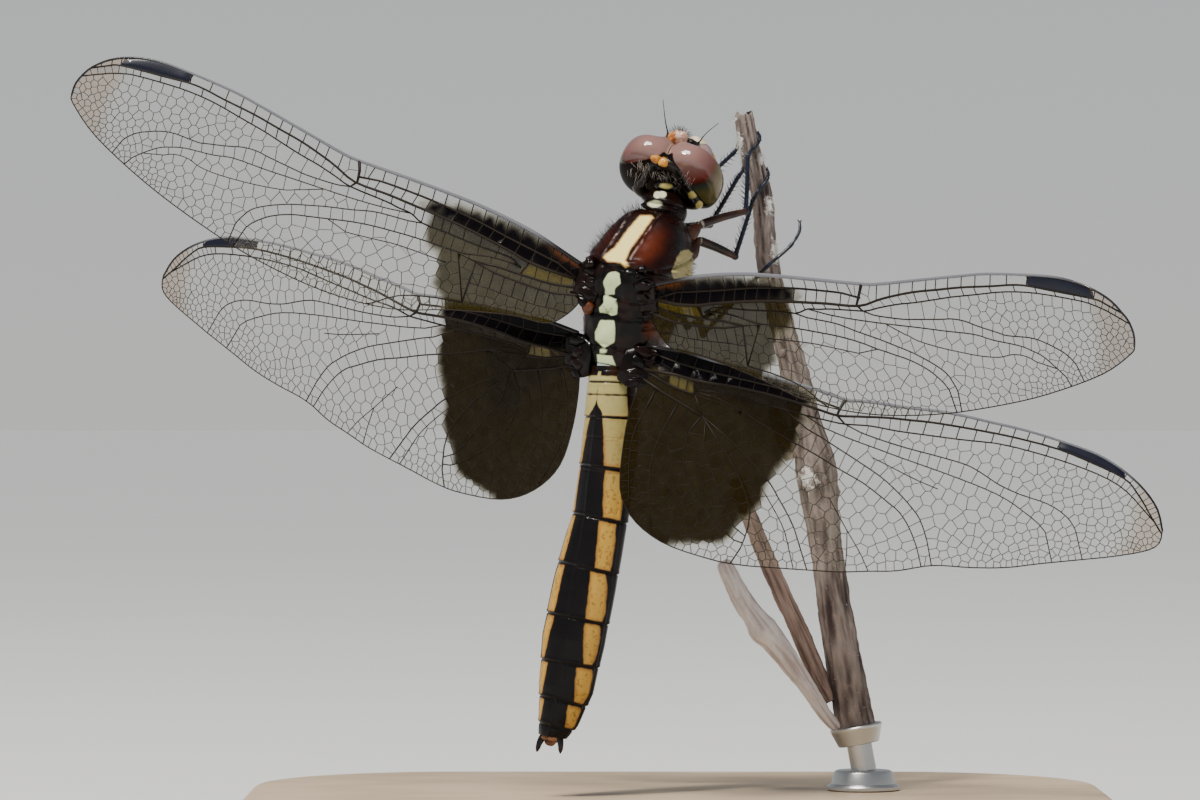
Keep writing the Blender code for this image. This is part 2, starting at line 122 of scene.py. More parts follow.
# ---- mesh kit ----
class Stock:
    """Points (front frame, mm), faces and point values, gathered until they become one piece."""

    def __init__(self):
        self.points, self.faces, self.values, self.count = [], [], {}, 0
        self.finish = []

    def add(self, points, faces, finish=0, **values):
        points = np.asarray(points, float).reshape(-1, 3)
        self.points.append(points)
        self.faces += [tuple(int(i) + self.count for i in face) for face in faces]
        self.finish += [finish] * len(faces)
        for key in set(values) | set(self.values):
            row = np.broadcast_to(np.asarray(values.get(key, 0.0), float), (len(points),))
            self.values.setdefault(key, [np.zeros(self.count)] if self.count else []).append(row)
        self.count += len(points)

    def piece(self, name, finishes, slot, replaces=(), smooth=True):
        mesh = bpy.data.meshes.new(name)
        x, y, z = np.concatenate(self.points).T
        world = np.stack([x - BASE_CENTRE[0], -z - BASE_CENTRE[1], y + BODY_LEVEL], 1) * MM
        mesh.from_pydata(world.tolist(), [], self.faces)
        for key, rows in self.values.items():
            if key.startswith("root_"):
                continue
            made = mesh.attributes.new(key, "FLOAT", "POINT")
            made.data.foreach_set("value", np.concatenate(rows).astype(np.float32))
        for finish in finishes:
            mesh.materials.append(finish)
        mesh.polygons.foreach_set("material_index", self.finish)
        mesh.polygons.foreach_set("use_smooth", [smooth] * len(self.finish))
        if "root_u" in self.values:
            self.bake_map(mesh)
        mesh.update()
        return settle(bpy.data.objects.new(name, mesh), replaces)

    def bake_map(self, mesh):
        """The OFBake map: every hair is a small patch at its root's place on the skin's unwrap."""
        root = np.stack([np.concatenate(self.values[key]) for key in ("root_u", "root_v")], 1)
        corner = np.zeros(len(mesh.loops), np.int32)
        mesh.loops.foreach_get("vertex_index", corner)
        layer = mesh.uv_layers.new(name="OFBake")
        layer.data.foreach_set("uv", root[corner].astype(np.float32).ravel())


def settle(obj, replaces=()):
    bpy.context.scene.collection.objects.link(obj)
    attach(obj, "root")
    if replaces:
        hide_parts(*replaces)
    return obj


def smooth_path(points, steps, closed=False):
    """Catmull-Rom points through a control list of any width, as an array."""
    points = np.asarray(points, float)
    n, found = len(points), []
    for i in range(n if closed else n - 1):
        near = [points[(i + k) % n] if closed else points[min(max(i + k, 0), n - 1)] for k in (-1, 0, 1, 2)]
        for j in range(steps):
            t = j / steps
            found.append(0.5 * (2 * near[1] + (near[2] - near[0]) * t
                                + (2 * near[0] - 5 * near[1] + 4 * near[2] - near[3]) * t * t
                                + (3 * near[1] - near[0] - 3 * near[2] + near[3]) * t ** 3))
    if not closed:
        found.append(points[-1])
    return np.array(found)


def grid_faces(rows, across, closed=True):
    """Quads of a sheet of rows, each with this many points; closed joins each row round."""
    found = []
    for start in range(0, (rows - 1) * across, across):
        for c in range(across if closed else across - 1):
            a, b = start + c, start + (c + 1) % across
            found.append((a, b, b + across, a + across))
    return found


def closed_sheet(rows, sides):
    """Faces of a closed tube of rows with both ends filled."""
    ends = [tuple(range(sides))[::-1], tuple(range((rows - 1) * sides, rows * sides))]
    return grid_faces(rows, sides) + ends


def steps_round(sides):
    """Evenly spaced angles round a circle."""
    return 2 * pi * np.arange(sides) / sides


def hoop(angle, side, up):
    """Unit directions at angles from one arm towards another."""
    return np.cos(angle)[:, None] * side + np.sin(angle)[:, None] * up


def unit_rows(rows):
    """Rows of directions scaled to unit length."""
    return rows / (np.linalg.norm(rows, axis=-1)[..., None] + 1e-12)


def tube(points, radii, sides=6, caps=True):
    """A round tube through points, with a radius at each; returns points and faces."""
    points, radii = np.asarray(points, float), np.broadcast_to(radii, len(points)).astype(float)
    ahead = unit_rows(np.gradient(points, axis=0))
    side = np.cross(ahead[0], ANY_WAY)
    angle = steps_round(sides)
    rings = []
    for point, direction, r in zip(points, ahead, radii):
        side = side - direction * side.dot(direction)
        side /= np.linalg.norm(side)
        rings.append(point + r * hoop(angle, side, np.cross(direction, side)))
    faces = closed_sheet if caps else grid_faces
    return np.concatenate(rings), faces(len(points), sides)


def spikes(roots, tips, radius, bend=0.0, sides=3):
    """Tapering hairs or spines from roots to tips; bend moves the middle. Returns points, faces, owner."""
    roots, tips = np.asarray(roots, float), np.asarray(tips, float)
    n = len(roots)
    radius = np.broadcast_to(radius, n)[:, None]
    ahead = unit_rows(tips - roots)
    side = unit_rows(np.cross(ahead, ANY_WAY_TOO))
    up = np.cross(ahead, side)
    middle = (roots + tips) / 2 + bend
    rows = []
    for k in range(sides):
        arm = cos(2 * pi * k / sides) * side + sin(2 * pi * k / sides) * up
        rows += [roots + arm * radius, middle + arm * radius * 0.7]
    points = np.stack(rows + [tips], 1).reshape(-1, 3)
    width = 2 * sides + 1
    faces = []
    for h in range(n):
        s = h * width
        for k in range(sides):
            a, b = s + 2 * k, s + 2 * ((k + 1) % sides)
            faces += [(a, b, b + 1, a + 1), (a + 1, b + 1, s + width - 1)]
        faces.append(tuple(s + 2 * k for k in range(sides))[::-1])
    return points, faces, np.repeat(np.arange(n), width)


# ---- wings ----
# Every point is (s, t) in mm: s along the span from the costal base, t to the rear.
# A vein is its radius at the root, at the end, its height on the pleated membrane (+ ridge), and points.
# A ladder is two veins, how far its rungs lean, and where they stand along the span.
FORE_VEINS = {
    "subcosta": (0.09, 0.07, -1.0, ((0.2, 0.6), (2, 0.45), (4, 0.15), (6, -0.15), (8, -0.5), (10, -0.75),
        (12, -0.95), (14, -1.05), (16, -1.08), (17.4, -0.9))),
    "radius": (0.13, 0.06, 1.0, ((0.0, 1.1), (2, 1.15), (4, 1.02), (5, 0.8), (7, 0.45), (9, 0.15),
        (11, -0.05), (13, -0.2), (15, -0.35), (17.5, -0.45), (19.1, -1.05), (20.1, -1.4), (22, -1.95),
        (24, -2.35), (26, -2.75), (28.5, -3.1), (30, -3.35), (31.2, -3.42), (33, -3.3), (36.2, -3.1),
        (37.2, -2.8), (38.2, -2.1))),
    "radial_one": (0.07, 0.05, -0.6, ((4.3, 1.5), (5, 1.2), (6, 1.1), (8, 1.05), (10, 0.9), (12, 0.8),
        (13, 0.4), (14, 0.3), (15, 0.15), (17.75, -0.05), (19, -0.4), (20.5, -0.8), (22, -1.1), (24, -1.6),
        (25, -1.85), (27, -2.25), (29, -2.65), (31, -2.85), (33, -2.85), (35, -2.75), (36, -2.6),
        (37.5, -2.1), (38.4, -1.3))),
    "radial_two": (0.06, 0.04, 0.5, ((17.75, -0.05), (18.5, 0.1), (19.5, 0.15), (21, 0.15), (22, 0.05),
        (24, -0.2), (25, -0.35), (26, -0.3), (27, -0.05), (28.5, 0.25), (29.3, 0.38), (31, 0.3), (32, 0.45),
        (33, 0.8), (33.8, 1.2), (34.5, 1.9), (34.9, 2.9))),
    "between_two": (0.05, 0.04, -0.5, ((13, 0.35), (14, 0.5), (15, 0.6), (17.5, 0.7), (22, 0.7), (24, 0.7),
        (26.5, 0.65), (28, 0.9), (30, 1.05), (31, 1.3), (32, 1.7), (33.5, 2.9), (33.9, 3.6))),
    "radial_three": (0.055, 0.04, 0.4, ((12, 0.85), (13, 0.95), (15, 1.05), (16, 1.2), (17, 1.45),
        (18, 1.65), (19, 1.85), (20, 2.1), (21.5, 2.5), (23, 3.1), (24, 3.7), (24.5, 4.4), (24.8, 5.1),
        (24.9, 6.4))),
    "media": (0.06, 0.04, -0.3, ((4.3, 1.6), (5, 1.5), (6, 1.5), (7, 1.6), (8, 1.8), (9, 1.92), (12, 1.92),
        (14, 2.0), (15.5, 2.1), (17, 2.3), (18.5, 2.6), (20, 2.9), (21, 3.1), (22, 3.45), (23, 4.0),
        (24, 5.0), (24.45, 6.5))),
    "radial_fold": (0.045, 0.035, 0.3, ((19.5, 1.25), (21, 1.25), (22, 1.6), (23.5, 1.85), (25, 2.0),
        (27, 2.1), (28.5, 2.0), (29.5, 1.7), (30.5, 1.7), (31.3, 2.0), (32.5, 2.8))),
    "median_fold": (0.045, 0.035, 0.3, ((9.5, 2.9), (13, 2.8), (15, 2.95), (17, 3.1), (18.5, 3.1))),
    "mid": (0.09, 0.07, 0.0, ((-0.1, 1.65), (1, 1.85), (2, 2.0), (4.2, 2.05), (6, 2.05), (7.5, 2.2))),
    "cubitus": (0.09, 0.07, 0.5, ((-0.4, 2.1), (0, 2.2), (1, 2.45), (2, 2.6), (4, 2.6), (6, 2.5),
        (7.5, 2.2))),
    "arculus": (0.06, 0.06, 0.0, ((3.8, 1.05), (4.2, 2.05))),
    "triangle_near": (0.06, 0.06, 0.0, ((7.5, 2.2), (7.5, 5.2))),
    "triangle_far": (0.06, 0.05, 0.2, ((7.5, 2.2), (8.9, 2.0), (7.5, 5.2))),
    "posterior": (0.06, 0.04, 0.2, ((7.5, 5.2), (9.5, 5.5), (12, 6.2), (14, 7.6))),
    "anal_fold": (0.035, 0.035, -0.2, ((0.5, 3.3), (1.2, 3.6), (2.5, 3.75), (4.5, 3.75), (6.2, 3.7),
        (7.5, 3.75))),
}
FORE_LADDERS = (
    ("costa", "subcosta", 0.0, (2.5, 3.75, 4.95, 6.15, 7.05, 7.95, 8.95, 10, 10.95, 11.9, 13, 13.9, 14.8,
        15.7)),
    ("costa", "subcosta", 0.3, (16.5,)),
    ("subcosta", "radius", 0.1, (2.4, 3.7, 4.9, 6.1, 7.0, 7.9, 8.9, 9.9, 11, 12, 13, 13.9, 14.7, 15.9)),
    ("radius", "radial_one", 0.0, (6.2, 7.6, 8.9, 10.0, 10.6, 11.3, 12.1, 12.8, 13.6, 14.6, 15.8, 22.1,
        23.1, 24, 24.9, 26, 27, 28.2, 30.1, 31.8, 33.3, 34.8)),
    ("costa", "radius", 0.0, (19, 20.1, 20.9, 22, 23.1, 23.9, 24.9, 26, 27.1, 28.3, 29.6)),
    ("costa", "radius", -0.1, (31.25, 36.45, 37.1, 37.8)),
    ("cubitus", "anal_fold", 0.0, (1.75, 2.6, 3.45, 4.3, 5.15, 6.0, 6.8)),
)
FORE = {
    "length": 39.0,
    "costa": ((-0.35, 0.2), (2, -0.45), (4, -1.0), (6, -1.35), (8, -1.6), (10, -1.75), (14, -1.9),
        (17.57, -1.97), (19, -2.1), (22, -2.7), (26, -3.5), (28, -3.85), (31.3, -4.14), (33.5, -4.22),
        (35, -4.05), (36.4, -3.65), (37.6, -3.0), (38.6, -2.0), (39.1, -0.9), (39.1, 0)),
    "rear": ((38.8, 0.55), (36.4, 2.3), (32.0, 4.25), (27.1, 5.85), (22.5, 6.95), (17.2, 7.55),
        (12.3, 7.25), (8.2, 6.0), (4.0, 5.0), (1.4, 4.75), (0.30, 3.90), (-0.45, 2.40)),
    "veins": FORE_VEINS,
    "ladders": FORE_LADDERS,
    "nodus": ((17.75, -1.95), (17.5, -1.3), (17.35, -0.5), (17.75, -0.05)),
    "stigma": (31.25, 36.4),
}
HIND_VEINS = {
    "subcosta": (0.09, 0.07, -1.0, ((-0.2, 0.1), (2, 0.1), (4, 0), (6, -0.2), (8, -0.4), (10, -0.55),
        (12, -0.6), (13.5, -0.55))),
    "radius": (0.13, 0.06, 1.0, ((-0.2, 0.85), (2, 1.0), (4, 0.85), (6, 0.5), (8, 0.25), (10, 0.1),
        (12, 0.05), (13.65, 0.02), (15, -0.35), (17, -0.95), (18.5, -1.3), (20, -1.65), (22, -2.0),
        (24, -2.3), (26, -2.55), (28.9, -2.75), (31.5, -2.6), (33.9, -2.3), (35, -1.7), (36.3, -0.6),
        (37.2, 0.6))),
    "radial_one": (0.07, 0.05, -0.6, ((3.7, 1.5), (5, 1.2), (7, 1.0), (9, 0.85), (10.5, 0.75), (12, 0.65),
        (13, 0.55), (14.35, 0.4), (16, -0.05), (18, -0.35), (20, -0.75), (22, -1.15), (24, -1.6),
        (25, -1.8), (27, -2.0), (30, -2.1), (33, -1.9), (35, -1.2), (36.7, 0.2))),
    "radial_two": (0.06, 0.04, 0.5, ((14.35, 0.4), (15.5, 0.6), (17, 0.65), (19, 0.6), (21, 0.45),
        (23, 0.35), (24, 0.45), (25, 0.7), (26, 0.95), (27.5, 1.1), (29.5, 1.1), (31, 1.5), (32, 2.3),
        (33, 3.9))),
    "between_two": (0.05, 0.04, -0.5, ((11.5, 0.95), (13, 1.1), (15, 1.25), (17, 1.3), (19, 1.35),
        (23, 1.4), (26, 1.6), (28, 2.1), (30, 3.0), (31.1, 4.8))),
    "radial_three": (0.055, 0.04, 0.4, ((10, 1.2), (12, 1.6), (13, 1.8), (14, 2.05), (16, 2.55), (18, 3.1),
        (19.5, 3.75), (20.5, 4.3), (21.5, 5.0), (22.5, 6.3), (23.3, 7.7))),
    "media": (0.06, 0.04, -0.3, ((3.7, 1.7), (5, 1.55), (7, 1.85), (9, 2.3), (11, 2.7), (13, 3.05),
        (15, 3.5), (17, 3.9), (19, 4.6), (20, 5.0), (21, 5.8), (22, 7.0), (22.75, 8.2))),
    "radial_fold": (0.045, 0.035, 0.3, ((17, 2), (19, 2.3), (20.5, 2.5), (22, 2.6))),
    "mid": (0.09, 0.07, 0.0, ((-0.5, 1.3), (1, 1.7), (2.5, 1.85), (3.7, 1.85))),
    "cubitus": (0.09, 0.06, 0.5, ((-0.8, 1.9), (1, 2.4), (2.6, 2.7), (4.7, 3.1))),
    "arculus": (0.06, 0.06, 0.0, ((3.3, 0.95), (3.7, 1.85))),
    "triangle_near": (0.06, 0.06, 0.0, ((3.7, 1.85), (4.7, 3.1))),
    "triangle_far": (0.06, 0.07, 0.2, ((3.7, 1.85), (7.2, 1.9), (4.7, 3.1))),
    "posterior": (0.06, 0.04, 0.2, ((4.7, 3.1), (7, 4), (10.3, 5.7), (11.7, 6.8), (13.5, 8.5),
        (15.3, 11.0))),
    "between_posterior": (0.045, 0.035, -0.2, ((10.3, 6.5), (11.5, 7.5), (13, 9), (14.4, 11.3))),
    "loop_outer": (0.06, 0.04, 0.3, ((4.7, 3.1), (6.5, 4.5), (8.5, 6.2), (10.2, 8.5), (10.4, 11),
        (10.1, 12.3))),
    "loop_inner": (0.05, 0.04, -0.2, ((4.7, 3.1), (4.2, 4.4), (4.6, 6.6), (6.1, 8.5), (8.4, 10.0),
        (9.8, 10.6), (10.3, 10.6))),
    "loop_middle": (0.05, 0.04, 0.1, ((4.9, 3.6), (5.5, 5), (7.5, 7.5), (9.4, 9.7), (10.35, 10.1))),
    "rear_ray_one": (0.045, 0.035, 0.2, ((15.0, 5.6), (17, 7.4), (18.5, 8.7), (19.4, 9.8))),
    "rear_ray_two": (0.04, 0.035, 0.0, ((17, 7.4), (17.5, 8.9), (17.9, 10.4))),
    "anal_one": (0.05, 0.04, 0.1, ((2.6, 2.7), (2.2, 4.4), (2.0, 6.6), (2.6, 9.0), (4.2, 12.2))),
    "anal_two": (0.05, 0.04, -0.1, ((0.6, 2.3), (0.0, 4.0), (-0.2, 6.0), (0.4, 8.2), (2.0, 11.2))),
}
HIND_LADDERS = (
    ("costa", "subcosta", 0.0, (1.6, 3.0, 4.3, 5.5, 6.2, 7.3, 8.1, 9.1, 10.4, 11.7, 12.8)),
    ("subcosta", "radius", 0.1, (1.6, 3.0, 4.3, 5.5, 6.4, 7.4, 8.4, 9.4, 10.5, 11.7, 12.8)),
    ("radius", "radial_one", 0.0, (5.4, 6.6, 7.8, 8.9, 10, 11.1, 12.2, 18.6, 19.7, 20.9, 22.0, 23.2, 24.4,
        25.7, 27, 28.3, 29.7, 31.2, 32.8)),
    ("costa", "radius", 0.0, (15.0, 15.8, 16.6, 17.4, 18.2, 19.0, 19.8, 20.6, 21.4, 22.2, 23.0, 23.8, 24.7,
        25.7, 26.7, 27.8)),
    ("costa", "radius", -0.1, (28.94, 34.0)),
)
HIND = {
    "length": 37.5,
    "costa": ((-0.6, -0.3), (2, -0.75), (4, -0.85), (6, -1.0), (8, -1.1), (10, -1.2), (12, -1.27),
        (13.8, -1.25), (14.5, -1.4), (16, -1.75), (18, -2.1), (20, -2.55), (22, -2.85), (24, -3.05),
        (26, -3.25), (28, -3.35), (31, -3.35), (32.5, -3.15), (34, -2.7), (35.5, -2.0), (36.8, -1.0),
        (37.6, 0.3)),
    "rear": ((37.5, 1.5), (35.4, 2.85), (30.6, 5.1), (28.3, 6.2), (26, 7.0), (23.4, 7.75), (21.2, 8.9),
        (19.3, 9.6), (17.5, 10.28), (15.5, 10.85), (13.1, 11.5), (10.8, 12.1), (8.6, 12.42), (5, 12.38),
        (2.2, 11.3), (0.1, 9.2), (-0.8, 6.2), (-1.05, 3.6), (-0.8, 1.2)),
    "veins": HIND_VEINS,
    "ladders": HIND_LADDERS,
    "nodus": ((13.8, -1.25), (13.65, -0.6), (13.65, 0.02), (14.35, 0.4)),
    "stigma": (28.94, 34.0),
}
MAIN_LINE, RUNG, WALL = 0, 1, 2      # the kinds of line in a wing's net
SAMPLE = 0.12            # spacing of the sample points that settle the small cells
LOOSE_END = 0.6          # a vein that stops this near another is joined to it
CROSS = 0.012            # how far a joined line runs past the other, so that the two truly cross
LADDER_CELL = 4.2        # a ladder's cell is divided only if its area is over this
MARGIN_CELL, FIELD_CELL = 0.56, 0.94
SAME_SPOT = 2e-3         # points of the net closer than this are one
TRIANGLES, CELLS = 1, 3  # what a cut plane gives: triangles inside the outline, or whole cells


def along(vein, s):
    """The t of a vein's line at span s."""
    return float(np.interp(s, vein[:, 0], vein[:, 1]))


def nearest_on(path, p):
    """Nearest point of a polyline to p, and its distance."""
    a, b = path[:-1], path[1:]
    d = b - a
    t = np.clip(((p - a) * d).sum(1) / ((d * d).sum(1) + 1e-12), 0, 1)
    q = a + d * t[:, None]
    gap = np.linalg.norm(q - p, axis=1)
    i = int(gap.argmin())
    return q[i], gap[i]


def distance_to(path, points):
    """Distance of each point to a polyline."""
    best = np.full(len(points), 1e9)
    for a, b in zip(path[:-1], path[1:]):
        d = b - a
        t = np.clip(((points - a) @ d) / (d @ d + 1e-12), 0, 1)
        best = np.minimum(best, np.linalg.norm(points - a - t[:, None] * d, axis=1))
    return best


def signed_inside(outline, points):
    """Distance to a closed outline, positive inside."""
    loop = np.vstack([outline, outline[:1]])
    inside = np.zeros(len(points), bool)
    for a, b in zip(loop[:-1], loop[1:]):
        crosses = (a[1] > points[:, 1]) != (b[1] > points[:, 1])
        at = a[0] + (points[:, 1] - a[1]) * (b[0] - a[0]) / (b[1] - a[1] + 1e-12)
        inside ^= crosses & (points[:, 0] < at)
    return np.where(inside, 1, -1) * distance_to(loop, points)


def stretched(start, end):
    """The end of a line, moved on a little so that it crosses what it meets."""
    return end + (end - start) * (CROSS / max(float(np.linalg.norm(end - start)), 1e-9))


def cut_plane(lines, kinds, output):
    """The plane cut by polylines: points, edges with the kind of line each came from, and faces."""
    points, edges, owner = [], [], []
    for line, kind in zip(lines, kinds):
        start = len(points)
        points += [Vector(p) for p in line]
        edges += [(start + i, start + i + 1) for i in range(len(line) - 1)]
        owner += [kind] * (len(line) - 1)
    got = delaunay_2d_cdt(points, edges, [], output, SAME_SPOT)
    kind_of = [min((owner[j] for j in ids if j < len(owner)), default=None) for ids in got[4]]
    return np.array([tuple(p) for p in got[0]]), got[1], kind_of, got[2]


def sides_of(triangle):
    """The three sides of a triangle, each with its lower point first."""
    return [(min(e), max(e)) for e in zip(triangle, (*triangle[1:], triangle[0]))]


def regions_of(walls, triangles):
    """A region number for each triangle; regions meet at the walls."""
    parent = list(range(len(triangles)))

    def top(i):
        while parent[i] != i:
            parent[i] = parent[parent[i]]
            i = parent[i]
        return i

    seen = {}
    for i, tri in enumerate(triangles):
        for side in sides_of(tri):
            if side in walls:
                continue
            if side in seen:
                parent[top(i)] = top(seen[side])
            else:
                seen[side] = i
    roots = [top(i) for i in range(len(triangles))]
    numbers = {r: n for n, r in enumerate(dict.fromkeys(roots))}
    return [numbers[r] for r in roots]


def sample_regions(points, triangles, region):
    """A grid of sample points with the region each one is in."""
    found, owner = [], []
    for tri, number in zip(triangles, region):
        a, b, c = points[list(tri)]
        low, high = np.minimum(np.minimum(a, b), c), np.maximum(np.maximum(a, b), c)
        xs = np.arange(ceil(low[0] / SAMPLE), high[0] / SAMPLE) * SAMPLE
        ys = np.arange(ceil(low[1] / SAMPLE), high[1] / SAMPLE) * SAMPLE
        if not len(xs) or not len(ys):
            continue
        p = np.stack(np.meshgrid(xs, ys), -1).reshape(-1, 2)
        area = (b[0] - a[0]) * (c[1] - a[1]) - (b[1] - a[1]) * (c[0] - a[0])
        u = ((b[0] - p[:, 0]) * (c[1] - p[:, 1]) - (b[1] - p[:, 1]) * (c[0] - p[:, 0])) / area
        v = ((c[0] - p[:, 0]) * (a[1] - p[:, 1]) - (c[1] - p[:, 1]) * (a[0] - p[:, 0])) / area
        keep = p[(u >= 0) & (v >= 0) & (u + v <= 1)]
        found.append(keep)
        owner.append(np.full(len(keep), number))
    return np.concatenate(found), np.concatenate(owner)


def settled_seeds(samples, size, narrow):
    """Cell centres that share out the samples evenly for the wanted cell size."""
    want = SAMPLE ** 2 / (size * np.minimum(size, narrow))
    n = max(1, round(float(want.sum())))
    if n == 1:
        return samples.mean(0)[None]
    if narrow < size.mean() * 1.2:
        order = np.argsort(samples[:, 0])
        share = np.cumsum(want[order])
        picks = np.searchsorted(share, (np.arange(n) + 0.5) / n * share[-1])
        seeds = samples[order[np.clip(picks, 0, len(samples) - 1)]].astype(float)
    else:
        seeds = samples[RNG.choice(len(samples), n, replace=False, p=want / want.sum())].astype(float)
    weight = size ** -4
    for _ in range(22):
        gap = ((samples[:, None, :] - seeds[None]) ** 2).sum(-1)
        near = gap.argmin(1)
        total = np.bincount(near, weight, n)
        for axis in (0, 1):
            moved = np.bincount(near, weight * samples[:, axis], n)
            seeds[:, axis] = np.where(total > 0, moved / np.maximum(total, 1e-9), seeds[:, axis])
    return seeds


def cell_walls(seeds):
    """Edges between neighbouring cells, from the triangles that join their centres."""
    far = 60.0 * np.array([(-1, -1), (1, -1), (1, 1), (-1, 1)])        # corners well outside the wing
    points = np.vstack([seeds, seeds.mean(0) + far])
    got = delaunay_2d_cdt([Vector(p) for p in points], [], [], 0, 1e-6)
    if len(got[0]) != len(points):
        return []
    p = np.array([tuple(v) for v in got[0]])
    centres, sides = [], {}
    for i, tri in enumerate(got[2]):
        a, b, c = p[list(tri)]
        d = 2 * ((a[0] - c[0]) * (b[1] - c[1]) - (b[0] - c[0]) * (a[1] - c[1]))
        aa, bb = (a * a - c * c).sum(), (b * b - c * c).sum()
        x = aa * (b[1] - c[1]) - bb * (a[1] - c[1])
        centres.append(np.array([x, bb * (a[0] - c[0]) - aa * (b[0] - c[0])]) / d)
        for side in sides_of(tri):
            sides.setdefault(side, []).append(i)
    return [(centres[s[0]], centres[s[1]]) for s in sides.values() if len(s) == 2]


def trimmed(wall, a, b, in_region):
    """The parts of a wall that lie in the region, cut where it meets the veins a to b."""
    p, q = wall
    d, e = q - p, b - a
    cross = d[0] * e[:, 1] - d[1] * e[:, 0]
    ok = np.abs(cross) > 1e-12
    w = a - p
    t = np.where(ok, (w[:, 0] * e[:, 1] - w[:, 1] * e[:, 0]) / np.where(ok, cross, 1), -1)
    u = np.where(ok, (w[:, 0] * d[1] - w[:, 1] * d[0]) / np.where(ok, cross, 1), -1)
    cuts = np.sort(t[(t > 0) & (t < 1) & (u >= -1e-9) & (u <= 1 + 1e-9)])
    stops = np.concatenate([[0.0], cuts, [1.0]])
    kept = []
    for low, high in zip(stops[:-1], stops[1:]):
        if (high - low) * np.linalg.norm(d) > 0.02 and in_region(p + d * (low + high) / 2):
            start, end = p + d * low, p + d * high
            kept.append((start if low == 0 else stretched(end, start),
                         end if high == 1 else stretched(start, end)))
    return kept


def cell_size(shape, outline_rear, points):
    """Wanted cell size: small along the rear edge and the tip, large in the field."""
    edge = distance_to(outline_rear, points)
    size = MARGIN_CELL + (FIELD_CELL - MARGIN_CELL) * np.clip(edge / 3.2, 0, 1)
    tip = np.clip((points[:, 0] / shape["length"] - 0.58) / 0.3, 0, 1)
    return size * (1 - 0.34 * tip)


def wing_network(shape):
    """Veins as smooth lines, and the whole net of cells: points, edges with kinds, and faces."""
    costa = smooth_path(shape["costa"], 3)
    rear = smooth_path((shape["costa"][-1], *shape["rear"], shape["costa"][0]), 4)
    veins = {"costa": costa, "rear": rear}
    for name, (*_, points) in shape["veins"].items():
        veins[name] = smooth_path(points, 3) if len(points) > 3 else np.array(points, float)
    veins["nodus"] = np.array(shape["nodus"], float)
    for name, line in veins.items():
        if name in ("costa", "rear"):
            continue
        for end in (0, -1):
            others = [nearest_on(path, line[end]) for other, path in veins.items() if other != name]
            spot, gap = min(others, key=lambda found: found[1])
            if gap < LOOSE_END:
                if len(line) > 8:       # the last stretch swings over to the other vein
                    line = veins[name] = np.delete(line, (1, 2) if end == 0 else (-2, -3), axis=0)
                line[end] = stretched(line[1 if end == 0 else -2], spot)
    lines, kinds = list(veins.values()), [MAIN_LINE] * len(veins)
    for first, second, slant, stops in shape["ladders"]:
        for s in stops:
            top = np.array((s, along(veins[first], s)))
            foot = np.array((s + slant, along(veins[second], s + slant)))
            lines.append(np.array([stretched(foot, top), stretched(top, foot)]))
            kinds.append(RUNG)
    points, edges, of_kind, triangles = cut_plane(lines, kinds, TRIANGLES)
    drawn = [e for e, k in zip(edges, of_kind) if k is not None]
    walls = {tuple(sorted(e)) for e in drawn}
    a, b = (np.array([points[e[end]] for e in drawn]) for end in (0, 1))
    region = regions_of(walls, triangles)
    ladder = ladder_regions(edges, of_kind, triangles, region)
    samples, owner = sample_regions(points, triangles, region)
    sizes = cell_size(shape, rear, samples)
    for number in range(max(region) + 1):
        mine = owner == number
        inside = samples[mine]
        area = len(inside) * SAMPLE ** 2
        wanted = float(sizes[mine].mean()) if mine.any() else 1.0
        least = LADDER_CELL if number in ladder else 0.9 * wanted ** 2
        if area < least:
            continue
        mine_too = [t for t, r in zip(triangles, region) if r == number]
        tris = [points[list(t)] for t in mine_too]
        rim = sum(float(np.linalg.norm(points[i] - points[j])) for t in mine_too for i, j in sides_of(t)
                  if (i, j) in walls)
        narrow = 2 * area / max(rim, 1e-6)
        seeds = settled_seeds(inside, sizes[mine], max(narrow, 0.3))
        if len(seeds) < 2:
            continue
        for wall in cell_walls(seeds):
            for piece in trimmed(wall, a, b, lambda p: any(in_triangle(p, t) for t in tris)):
                lines.append(np.array(piece))
                kinds.append(WALL)
    return veins, *pruned(lines, kinds)


def ladder_regions(edges, kinds, triangles, region):
    """Regions that two or more rungs bound: the small ones are whole cells already."""
    rungs = {tuple(sorted(e)) for e, k in zip(edges, kinds) if k == RUNG}
    sides = {}
    for tri, number in zip(triangles, region):
        for side in sides_of(tri):
            if side in rungs:
                sides.setdefault(side, set()).add(number)
    bounding = [number for pair in sides.values() if len(pair) == 2 for number in pair]
    return {number for number in bounding if bounding.count(number) > 1}


def in_triangle(p, t):
    a, b, c = t
    d1 = (p[0] - b[0]) * (a[1] - b[1]) - (a[0] - b[0]) * (p[1] - b[1])
    d2 = (p[0] - c[0]) * (b[1] - c[1]) - (b[0] - c[0]) * (p[1] - c[1])
    d3 = (p[0] - a[0]) * (c[1] - a[1]) - (c[0] - a[0]) * (p[1] - a[1])
    return not ((d1 < 0 or d2 < 0 or d3 < 0) and (d1 > 0 or d2 > 0 or d3 > 0))


def pruned(lines, kinds):
    """The final net, with loose ends taken off."""
    points, edges, of_kind, _ = cut_plane(lines, kinds, CELLS)
    while True:
        degree = np.bincount(np.array(edges).ravel(), minlength=len(points))
        keep = [i for i, (p, q) in enumerate(edges) if degree[p] > 1 and degree[q] > 1]
        if len(keep) == len(edges):
            break
        edges, of_kind = [edges[i] for i in keep], [of_kind[i] for i in keep]
    return cut_plane([points[list(e)] for e in edges], of_kind, CELLS)


